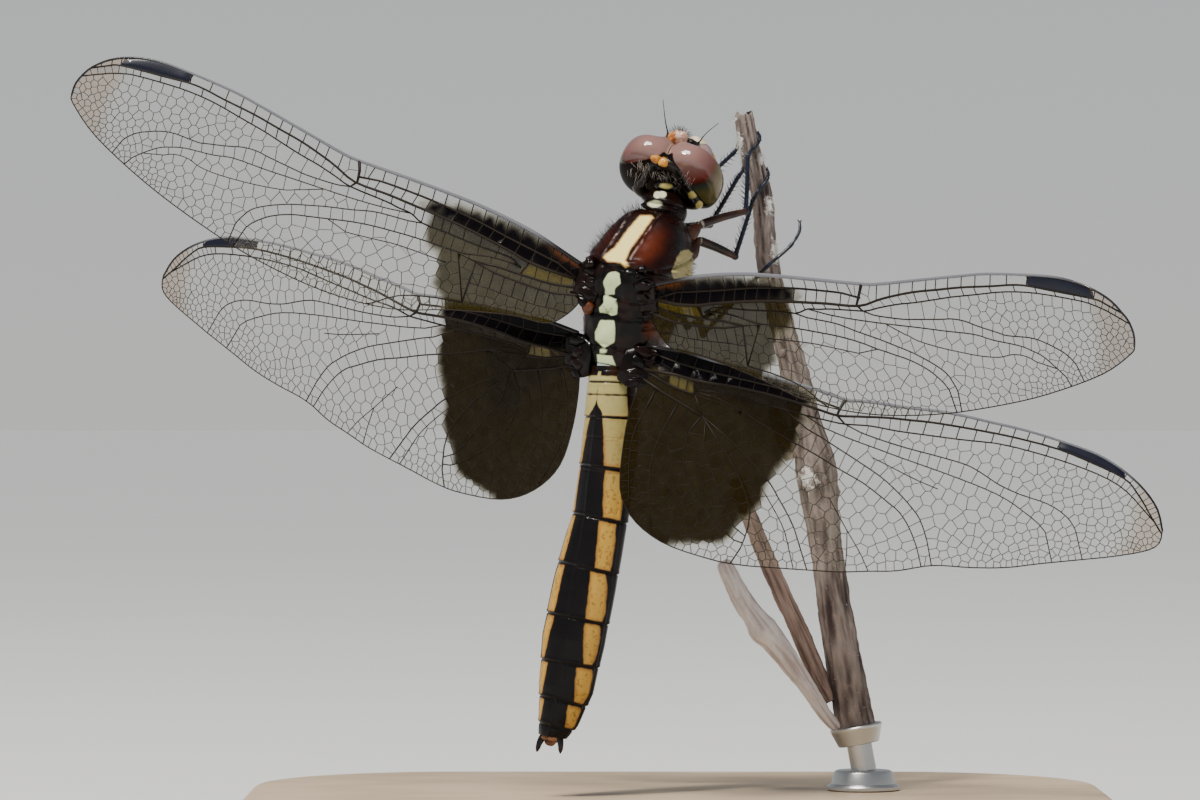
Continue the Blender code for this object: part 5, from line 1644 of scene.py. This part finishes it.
# ---- hairs ----
REAR_SILK = (   # middle on the head's rear, number, lean, length
    ((-1.45, -1.02, 0.85), 44, (0.45, -0.6, -0.9), 0.75), ((-0.1, -1.0, 0.25), 34, (0.9, -0.5, -0.2), 0.8),
    ((0.35, -0.9, -0.35), 24, (0.6, -0.6, 0.5), 0.65), ((-2.1, -1.05, -0.1), 20, (0.2, -0.7, -0.7), 0.55),
    ((1.5, -1.05, 0.5), 20, (-0.3, -0.7, -0.6), 0.55))
FACE_TUFTS = (   # centre and half sizes of the form they grow on, number, length
    ((0.0, 1.85, 1.48), (0.64, 0.50, 0.58), 110, 0.52), ((0, 2.95, -0.1), (1.45, 0.75, 0.90), 110, 0.34),
    ((0, 2.6, -1.2), (1.9, 1.0, 1.2), 260, 0.30))


def hair_piece(name, slot, tufts, material):
    """Fine hairs as three-sided spikes; each keeps its root's place on the skin's unwrap."""
    stock = Stock()
    for roots, tips, radius, bend, unwrap in tufts:
        points, faces, owner = spikes(roots, tips, radius, bend)
        corner = np.tile(np.arange(7), len(roots)) * 2 * pi / 7
        stock.add(points, faces, 0, root_u=unwrap[owner, 0] + 0.0015 * np.cos(corner),
                  root_v=unwrap[owner, 1] + 0.0015 * np.sin(corner))
    stock.piece(name, [material], slot, smooth=False)


def jitter(count, amount):
    return RNG.normal(0, amount, (count, 3))


def grown(grid, keep, count, length, lean, spread, radius, frame):
    """A tuft over part of a sheet: lean is added to the outward normal (frame directions)."""
    normals = sheet_normals(grid)
    rows, sides = grid.shape[:2]
    free = np.argwhere(keep)
    pick = free[RNG.choice(len(free), count)]
    row, column = pick.T
    roots = grid[row, column]
    away = unit_rows(normals[row, column] + np.array(lean) + jitter(count, spread))
    size = length * RNG.uniform(0.6, 1.25, count)[:, None]
    unwrap = np.stack([column / sides, row / rows], 1) * 0.96 + 0.02
    base, ends = frame.array(roots), frame.array(roots + away * size)
    bend = (frame.array(roots + jitter(count, 0.06)) - base) * size
    return base, ends, radius, bend, unwrap


def head_tuft(roots, away, length, radius, curl):
    """A tuft from roots on the head, each hair in its own direction."""
    count = len(roots)
    tips = roots + unit_rows(away) * length * RNG.uniform(0.6, 1.2, count)[:, None]
    unwrap = np.stack([(roots[:, 0] + 3.6) / 7.2, (roots[:, 2] + 3) / 6], 1)
    return HEAD.array(roots), HEAD.array(tips), radius, jitter(count, curl), unwrap


def build_hairs():
    grid = thorax_sheet()
    out, ahead, above = grid[..., 0], grid[..., 1], grid[..., 2]
    front = (ahead > 1.0) & (above > -3.6)
    edge = front & (out < -1.0) & (above > -0.5)
    collar = (ahead > 4.3) & (above > -2.0)
    flanks = (np.abs(out) > 2.2) & (above < 1.0)
    below = above < -3.0
    hair_piece("thorax_hairs", "thorax", [
        grown(grid, front, 420, 0.26, (0, 0.3, 0.1), 0.25, 0.008, THORAX),
        grown(grid, edge, 170, 0.62, (-0.2, 0.4, 0.3), 0.22, 0.011, THORAX),
        grown(grid, collar, 110, 0.75, (0, 0.6, 0.5), 0.25, 0.011, THORAX),
        grown(grid, flanks, 800, 0.34, (0, -0.2, -0.2), 0.3, 0.009, THORAX),
        grown(grid, below, 600, 0.45, (0, 0, -0.3), 0.35, 0.009, THORAX)], DARK_HAIR)
    silk, brow = [], []
    for centre, count, lean, length in REAR_SILK:
        roots = np.array(centre) + jitter(count, 1) * (0.42, 0.03, 0.30)
        silk.append(head_tuft(roots, np.array(lean) + jitter(count, 0.28), length, 0.010, 0.05))
    hair_piece("head_silk", "head", silk, SILK_HAIR)
    for centre, half, count, length in FACE_TUFTS:
        unit = jitter(count, 1)
        unit[:, 1:] = np.abs(unit[:, 1:]) * (1, 1 if centre[2] > 0 else -1)
        unit = unit_rows(unit)
        roots = np.array(centre) + unit * half * 0.97
        brow.append(head_tuft(roots, unit + jitter(count, 0.2), length, 0.008, 0.03))
    hair_piece("face_hairs", "head", brow, DARK_HAIR)


# ---- legs ----
LEGS = {   # hip, knee and ankle in the front frame
    "fore_right": ((7.1, 12.45, -3.3), (10.4, 13.45, -5.0), (10.55, 17.4, -5.8)),
    "mid_right": ((6.95, 11.35, -3.7), (9.65, 10.25, -5.7), (10.95, 14.35, -6.15)),
    "hind_right": ((6.2, 9.1, -4.4), (7.4, 4.7, -8.0), (11.45, 9.0, -6.2)),
    "fore_left": ((4.35, 13.55, -5.0), (6.5, 14.9, -8.2), (9.62, 17.75, -7.6)),
    "mid_left": ((4.15, 12.0, -5.4), (7.9, 12.6, -8.3), (9.98, 16.1, -7.7)),
    "hind_left": ((3.75, 9.5, -5.6), (6.3, 5.3, -10.0), (11.25, 7.9, -8.35)),
}
HIPS = {"fore": (3.9, -3.9, 1.25), "mid": (2.4, -4.3, 1.45), "hind": (0.6, -4.3, 1.35)}   # ahead, above, out
FEET = {   # start and end height on the twig, start and end angle round it from the front
    "fore_right": (17.75, 19.2, -8, 112), "mid_right": (14.75, 16.6, -25, 105),
    "fore_left": (18.0, 18.9, -92, -165), "mid_left": (16.35, 17.2, -95, -165),
    "hind_left": (8.2, 9.2, -140, -215),
}
FREE_FOOT = (   # the right hind foot's path past its ankle
    (11.75, 9.35, -6.1), (12.6, 10.1, -5.95), (13.6, 11.0, -6.2), (14.25, 12.0, -6.5), (14.3, 12.7, -6.8))
THIGH = {"fore": 0.30, "mid": 0.33, "hind": 0.36}
SHIN, FOOT = 0.165, 0.125
TWIG_DEPTH = -7.5
TWIG_LINE = np.array((   # X, Y, radius
    (10.30, 20.55, 0.62), (10.45, 19.6, 0.68), (10.85, 17.6, 0.72), (11.65, 14.3, 0.74), (11.90, 11.0, 0.76),
    (12.35, 8.2, 0.80), (13.15, 5.0, 0.84), (14.05, 1.6, 0.98), (14.90, -1.9, 1.10), (15.55, -5.2, 1.46),
    (15.95, -8.6, 1.22), (16.5, -12.5, 1.16), (17.35, -18.0, 1.28), (18.35, -23.4, 1.40)))


def twig_at(y):
    line = TWIG_LINE[::-1]
    return float(np.interp(y, line[:, 1], line[:, 0])), float(np.interp(y, line[:, 1], line[:, 2]))


def foot_line(word, ankle):
    """The foot's path: round the twig, just clear of its bark, or free."""
    if word not in FEET:
        return smooth_path((ankle, *FREE_FOOT), 6)
    low, high, first, last = FEET[word]
    found = [ankle]
    for t in np.linspace(0.12, 1, 9):
        y = low + (high - low) * t
        x, r = twig_at(y)
        angle = radians(first + (last - first) * t)
        reach = r + FOOT + 0.05
        found.append((x + reach * sin(angle), y, TWIG_DEPTH + reach * cos(angle)))
    return smooth_path(found, 4)


def bowed(start, end, share, bow, steps):
    """A path from start to end, moved by bow at a share of its way."""
    return smooth_path((start, start + (end - start) * share + bow, end), steps)


def direction(vector):
    return vector / np.linalg.norm(vector)


def spine_row(line, towards, count, length, radius, lean):
    """A comb of spines along a limb, pointing towards a direction and leaning to its far end."""
    share = (np.arange(count) + 0.6) / count
    at = np.stack([np.interp(share, np.linspace(0, 1, len(line)), line[:, k]) for k in range(3)], 1)
    ahead = direction(line[-1] - line[0])
    side = direction(towards - ahead * np.dot(towards, ahead))
    away = unit_rows(side + ahead * lean + jitter(count, 0.10))
    size = length * RNG.uniform(0.8, 1.15, count) * (0.75 + 0.5 * np.sin(pi * share))
    return spikes(at + away * 0.05, at + away * size[:, None], radius)[:2]


def add_thigh(stock, word, hip, thigh):
    """The thigh with its pale root, and the hip joint from its socket in the thorax."""
    kind, side = word.split("_")
    share = np.linspace(0, 1, len(thigh))
    radii = THIGH[kind] * np.interp(share, (0, 0.06, 0.15, 0.7, 0.93, 1), (0.75, 0.95, 1.05, 0.9, 0.72, 0.85))
    stock.add(*tube(thigh, radii, 18), 0, pale=np.repeat(np.clip(1 - abs(share - 0.04) / 0.05, 0, 1), 18))
    ahead, above, out = HIPS[kind]
    socket = np.array(THORAX.front(out * (1 if side == "right" else -1) * 1.25, ahead, above))
    coxa = bowed(socket, hip, 0.55, (0, -0.10, 0), 8)
    stock.add(*tube(coxa, taper(coxa, (0, 0.35, 0.7, 0.8, 1), (0.62, 0.66, 0.40, 0.30, 0.33)), 18), 1)


def add_foot(stock, foot):
    """The jointed foot and its two claws."""
    share = np.linspace(0, 1, len(foot))
    swollen = bell(share - 0.30, 0.035) + bell(share - 0.62, 0.035)
    waisted = bell(share - 0.34, 0.02) + bell(share - 0.66, 0.02)
    joints = 1 + 0.35 * swollen - 0.35 * waisted
    stock.add(*tube(foot, FOOT * joints * np.interp(share, (0, 0.9, 1), (1.1, 0.9, 0.7)), 12), 0)
    end = foot[-1]
    ahead = direction(end - foot[-4])
    sideways = direction(np.cross(ahead, (0.2, 0.9, 0.4)))
    for way in (-1, 1):
        middle = end + ahead * 0.18 + sideways * 0.12 * way
        claw = smooth_path((end, middle, end + ahead * 0.30 + sideways * 0.17 * way + (0, -0.06, -0.12)), 5)
        stock.add(*tube(claw, taper(claw, (0, 0.6, 1), (0.055, 0.04, 0.012)), 8), 0)


def build_leg(word):
    hip, knee, ankle = (np.array(p, float) for p in LEGS[word])
    r = THIGH[word.split("_")[0]]
    thigh = bowed(hip, knee, 0.5, (0.0, 0.06, 0.05), 10)
    shin = bowed(knee, ankle, 0.5, (0.03, 0.02, 0.04), 10)
    foot = foot_line(word, ankle)
    upper, lower = Stock(), Stock()
    add_thigh(upper, word, hip, thigh)
    lower.add(*tube(shin, SHIN * taper(shin, (0, 0.06, 0.12, 0.9, 1), (1.35, 1.25, 1.0, 0.9, 1.1)), 14), 0)
    lower.add(*lump((0, 0, 0), (r * 0.82,) * 3, Frame(knee, (1, 0, 0), (0, 1, 0)), 12, 16), 0)
    add_foot(lower, foot)
    down, inward = ankle - knee, hip - knee
    across = np.cross(down, -inward)
    for towards, count, length in ((inward, 15, 0.72), (-np.cross(across, down), 12, 0.62),
                                   (across, 13, 0.60), (-across, 13, 0.60)):
        lower.add(*spine_row(shin, towards, count, length, 0.036, 0.75), 0)
    for towards, count, length in ((across, 16, 0.30), (-across, 16, 0.30), (down, 14, 0.34)):
        upper.add(*spine_row(thigh, towards, count, length + r * 0.6, 0.024, 0.4), 2)
    for towards in (inward, across, -across):
        lower.add(*spine_row(foot, towards, 11, 0.30, 0.014, 0.9), 0)
    upper.piece(f"thigh_{word}", [PLAIN["femur_shell"], PLAIN["coxa_shell"], SHIN_SHELL], "femur",
                [f"leg_{word}_femur"])
    lower.piece(f"shin_{word}", [SHIN_SHELL], "shin_and_foot", [f"leg_{word}_tibia", f"leg_{word}_tarsus"])


# ---- perch and stand ----
SHOOTS = {   # X, Y, Z and radius, from the tip down to the twig
    "perch_stub": ((12.35, -0.6, -7.2, 0.30), (12.85, -1.8, -7.2, 0.52), (13.22, -2.7, -7.3, 0.60),
                   (13.9, -4.1, -7.4, 0.62)),
    "perch_shoot_upper": ((9.7, -5.6, -8.4, 0.50), (10.75, -8.4, -8.4, 0.56), (12.4, -12.4, -8.3, 0.62),
                          (14.4, -16.8, -8.1, 0.66), (15.75, -19.9, -7.8, 0.60), (16.6, -21.6, -7.6, 0.55)),
    "perch_shoot_lower": ((8.75, -11.5, -6.0, 0.62), (10.3, -14.5, -6.0, 0.80), (12.4, -17.2, -6.1, 0.92),
                          (14.4, -19.9, -6.3, 0.70), (16.2, -22.6, -6.8, 0.52), (17.2, -23.6, -7.2, 0.45)),
}
KNOTS = (   # X, Y, Z and radius
    (11.95, 9.2, -6.8, 0.30), (15.9, -5.5, -6.6, 0.55), (14.6, -5.9, -6.9, 0.42), (16.9, -6.6, -7.3, 0.35),
    (13.1, 3.4, -6.8, 0.22), (16.2, -11.0, -6.6, 0.28), (17.9, -19.5, -6.6, 0.30))
FUZZ = (   # X, Y and half sizes of the pale fluffy places
    (9.95, 17.9, 0.42, 1.4), (11.55, 17.3, 0.4, 0.5), (12.15, 13.9, 0.36, 0.8), (14.9, -5.6, 0.8, 0.9),
    (12.5, 10.6, 0.3, 1.0), (9.75, 20.15, 0.18, 0.12))
HOLLOW = ((0.80, 0.02), (0.66, 0.25), (0.52, 0.75), (0.30, 0.95), (0.08, 1.0))    # size and drop of each ring
PALE_KNOT = -16.4           # the height of the pale shoot's swelling
SHOOT_TIP = np.array((0.45, 0.72, 0.86, 0.94, 0.97, 0.99, 1.0))     # how the first rings of a shoot close
CUP = ((0, 1.42), (0.05, 1.50), (0.12, 1.52), (1.05, 1.83), (1.15, 1.88), (1.26, 1.88), (1.34, 1.82),
       (1.36, 1.70), (1.28, 1.60))         # profiles of turned parts: height and radius
COLLAR = ((0.02, 2.50), (0.10, 2.60), (0.30, 2.60), (0.42, 2.52), (0.50, 2.30), (1.25, 2.12), (1.38, 2.05),
          (1.46, 1.90), (1.48, 1.20))


def bark_sheet(path, sides, relief, seed):
    """Rough bark round a path of (X, Y, Z, radius): rows of points with how deep each lies in a crack."""
    path = np.asarray(path, float)
    ahead = unit_rows(np.gradient(path[:, :3], axis=0))
    angle = steps_round(sides)
    grid, crack = [], []
    length = np.concatenate([[0], np.cumsum(np.linalg.norm(np.diff(path[:, :3], axis=0), axis=1))])
    for (x, y, z, r), forward, s in zip(path, ahead, length):
        side = direction(np.array((1.0, 0, 0)) - forward * forward[0])
        twist = angle + 0.02 * s
        spot = np.stack([np.cos(twist) * 1.7 + seed, np.sin(twist) * 1.7, np.full(sides, s * 0.16)], 1)
        ridge = np.array([noise.ridged_multi_fractal(Vector(q) * 1.5, 1.0, 2.0, 4, 1.0, 2.0) for q in spot])
        fine = np.array([noise.noise(Vector((q[0] * 3, q[1] * 3, s * 1.6))) for q in spot])
        depth = relief * (0.16 * (ridge - 1.2) + 0.10 * fine)
        grid.append(np.array((x, y, z)) + (r + depth)[:, None] * hoop(angle, side, np.cross(side, forward)))
        crack.append(np.clip(ridge / 2.4, 0, 1))
    return np.array(grid), np.array(crack)


def fluffy(p):
    """How far each point is inside a pale fluffy place."""
    return np.max([1 - np.hypot((p[:, 0] - x) / a, (p[:, 1] - y) / b) for x, y, a, b in FUZZ], axis=0)


def add_twig(stock, path, grid, crack):
    """The twig's bark with its split, hollow top."""
    rows, sides = grid.shape[:2]
    angle = steps_round(sides)
    top = np.exp(-np.arange(rows) / 5.0)[:, None]
    split = 0.55 * np.sin(angle * 2 + 0.6) + 0.35 * np.sin(angle * 5 + 2.0) + 0.2 * np.sin(angle * 9)
    grid[..., 1] += 0.24 * split * top - 0.02 * top
    axis = path[:, None, :3]
    grid = axis + (grid - axis) * (1 - 0.10 * top[..., None])
    hollow = [axis[0] + (grid[0] - axis[0]) * size + (0, -drop, 0) for size, drop in HOLLOW[::-1]]
    # inner is 1 inside the hollow top and fades over the first rings below its rim: where the painted shade
    # of the hollow lies.
    outer = np.clip(0.5 - np.arange(rows) / 6, 0, 1)
    inner = np.repeat(np.concatenate([np.ones(len(hollow)), outer]), sides)
    crack = np.concatenate([np.zeros((len(hollow), sides)), crack])
    p = np.concatenate([hollow, grid]).reshape(-1, 3)
    stock.add(p, closed_sheet(rows + len(hollow), sides), 0, crack=crack.ravel(), inner=inner, fuzz=fluffy(p))


def build_shoot(name, points):
    pale = name == "perch_shoot_lower"
    path = smooth_path(points, 22)
    if pale:
        path[:, 3] += 0.20 * bell(path[:, 1] - PALE_KNOT, 0.5) - 0.05
        path[:, 0] -= 0.12 * bell(path[:, 1] - PALE_KNOT, 0.5)
    path[:len(SHOOT_TIP), 3] *= SHOOT_TIP
    grid, crack = bark_sheet(path, 48, 0.45 if pale else 0.6, len(name) * 1.3)
    shoot = Stock()
    shoot.add(grid.reshape(-1, 3), closed_sheet(len(path), 48), 0, crack=crack.ravel(), inner=0.0, fuzz=-1.0)
    look, slot = (PALE_BARK, "pale_bark") if pale else (SHOOT_BARK, "twig_bark")
    shoot.piece(f"{name}_bark", [look], slot, [name])


def build_perch():
    """The twig with its knots and pale fluff, and its side shoots."""
    path = smooth_path([(x, y, TWIG_DEPTH, r) for x, y, r in TWIG_LINE], 26)
    grid, crack = bark_sheet(path, 64, 0.8, 3.0)
    wood = Stock()
    add_twig(wood, path, grid.copy(), crack)
    for k, (x, y, z, r) in enumerate(KNOTS):
        place = Frame((x, y, z), (1, 0, 0), (0.15, 1, 0))
        points, faces = lump((0, 0, 0), (r, r * 1.25, r * 0.8), place, 20, 30, 0.35, k * 2.1)
        wood.add(points, faces, 0, crack=0.5, fuzz=fluffy(points) * 0.8)
    wood.piece("twig_bark", [BARK], "twig_bark", ["perch_twig"])
    for name, points in SHOOTS.items():
        build_shoot(name, points)
    inside = fluffy(grid.reshape(-1, 3)).reshape(grid.shape[:2])
    keep = (inside > 0.1) & (np.arange(len(grid))[:, None] > 2)
    hair_piece("bark_fluff", "twig_bark", [
        grown(grid, keep, 1000, 0.40, (0, -0.3, 0.1), 0.75, 0.010, FRONT),
        grown(grid, inside < 0.0, 260, 0.22, (0, 0.2, 0), 0.6, 0.010, FRONT)], FLUFF)


def rounded_block(name, half, corner, rounding, material, replaces):
    """A board on the floor with round corners and softened edges."""
    bm = bmesh.new()
    bmesh.ops.create_cube(bm, size=MM)
    bmesh.ops.scale(bm, vec=[2 * size for size in half], verts=bm.verts)
    upright = [e for e in bm.edges if abs(e.verts[0].co.z - e.verts[1].co.z) > MM]
    bmesh.ops.bevel(bm, geom=upright, offset=corner * MM, segments=28, affect="EDGES", profile=0.5)
    level = [e for e in bm.edges if abs(e.verts[0].co.z - e.verts[1].co.z) < 1e-6]
    bmesh.ops.bevel(bm, geom=level, offset=rounding * MM, segments=6, affect="EDGES", profile=0.5)
    mesh = bpy.data.meshes.new(name)
    bm.to_mesh(mesh)
    bm.free()
    mesh.materials.append(material)
    mesh.shade_smooth()
    mesh.set_sharp_from_angle(angle=radians(35))
    obj = bpy.data.objects.new(name, mesh)
    obj.location = (0, 0, half[2] * MM)
    settle(obj, replaces)


def turned_piece(name, profile, bottom, axis, replaces):
    """A turned steel part: profile of (height, radius) up an axis from the front-frame point bottom."""
    sides, axis = 72, np.array(Vector(axis).normalized())
    side = direction(np.cross(axis, (0, 0, 1.0)))
    ring = hoop(steps_round(sides), side, np.cross(axis, side))
    stock = Stock()
    stock.add(np.concatenate([np.array(bottom) + axis * high + r * ring for high, r in profile]),
              closed_sheet(len(profile), sides), 0)
    obj = stock.piece(name, [STEEL], "stand_steel", replaces)
    obj.data.set_sharp_from_angle(angle=radians(30))


def build_stand():
    half = [(high - low) / 2 / MM for low, high in zip(BASE_LOW, BASE_HIGH)]
    level = BASE_HIGH[2] / MM - BODY_LEVEL
    rounded_block("base_board", half, 15.0, 0.9, PALE_WOOD, ["stand_base"])
    end, before = TWIG_LINE[-1], TWIG_LINE[-2]
    down = Vector((end[0] - before[0], end[1] - before[1], 0)).normalized()
    low = Vector((end[0], end[1], TWIG_DEPTH)) + down * 0.1 + down * 1.2
    turned_piece("ferrule_cup", CUP, low, -down, ["stand_ferrule"])
    top = low + down * 0.1
    foot = top + down * ((level + 1.4 + 0.3 - top.y) / down.y)
    length = (foot - top).length
    rod = ((-0.25, 0.9), (0.3, 0.9), (length - 0.3, 0.9), (length + 0.12, 0.9))
    turned_piece("rod_pin", rod, foot, -down, ["stand_rod"])
    turned_piece("collar_boss", COLLAR, (foot.x, level, foot.z), (0, 1, 0), ["stand_collar"])


# ---- floor, light and camera ----
def lamp(name, at, aim, size, power, colour=(1, 1, 1)):
    data = bpy.data.lights.new(name, "AREA")
    data.shape, data.size, data.energy, data.color = "DISK", size, power, colour
    made = bpy.data.objects.new(name, data)
    made.location = at
    made.rotation_euler = (Vector(aim) - Vector(at)).to_track_quat("-Z", "Y").to_euler()
    bpy.context.scene.collection.objects.link(made)


def stage():
    """A plain pale floor, soft light and the camera."""
    bm = bmesh.new()
    bmesh.ops.create_circle(bm, cap_ends=True, segments=96, radius=6.0)
    mesh = bpy.data.meshes.new("floor")
    bm.to_mesh(mesh)
    bm.free()
    floor = bpy.data.objects.new("floor", mesh)
    mesh.materials.append(finish("floor_paper", lambda n: {
        "Base Color": n.mix(n.noise(40.0, 3.0), (0.80, 0.80, 0.78), (0.77, 0.77, 0.75))}, Roughness=0.9))
    bpy.context.scene.collection.objects.link(floor)
    world = bpy.data.worlds.new("studio_air")
    world.use_nodes = True
    air = Nodes(world.node_tree)
    rise = air.add("SeparateXYZ", air.add("TexCoord").outputs["Generated"]).outputs[2]
    air.feed(world.node_tree.nodes["Background"].inputs["Color"],
             air.ramp(rise, (0.0, (0.60, 0.60, 0.59)), (0.10, (0.52, 0.54, 0.55)),
                      (0.55, (0.22, 0.24, 0.27))))
    bpy.context.scene.world = world
    middle = (0.0, 0.0, 0.038)
    lamp("key_light", (-0.13, -0.20, 0.55), middle, 0.19, 3.0, (1.0, 0.97, 0.92))
    sun = bpy.data.lights.new("sun_light", "SUN")
    sun.energy, sun.angle, sun.color = 2.2, radians(6), (1.0, 0.98, 0.94)
    made = bpy.data.objects.new("sun_light", sun)
    made.rotation_euler = (-Vector((-0.40, -0.50, 0.85))).to_track_quat("-Z", "Y").to_euler()
    bpy.context.scene.collection.objects.link(made)
    data = bpy.data.cameras.new("camera")
    data.sensor_width, data.lens = 36.0, 170.4
    data.clip_start, data.clip_end = 0.01, 20.0
    camera = bpy.data.objects.new("camera", data)
    camera.location = (-BASE_CENTRE[0] * MM, -0.4 - BASE_CENTRE[1] * MM, BODY_LEVEL * MM)
    camera.rotation_euler = (pi / 2, 0, 0)
    bpy.context.scene.collection.objects.link(camera)
    bpy.context.scene.camera = camera


build_wings()
build_thorax()
build_prothorax()
build_hinges()
build_abdomen()
build_tail()
build_capsule()
build_face()
build_feelers()
build_eyes()
for word in LEGS:
    build_leg(word)
build_perch()
build_stand()
build_hairs()
stage()
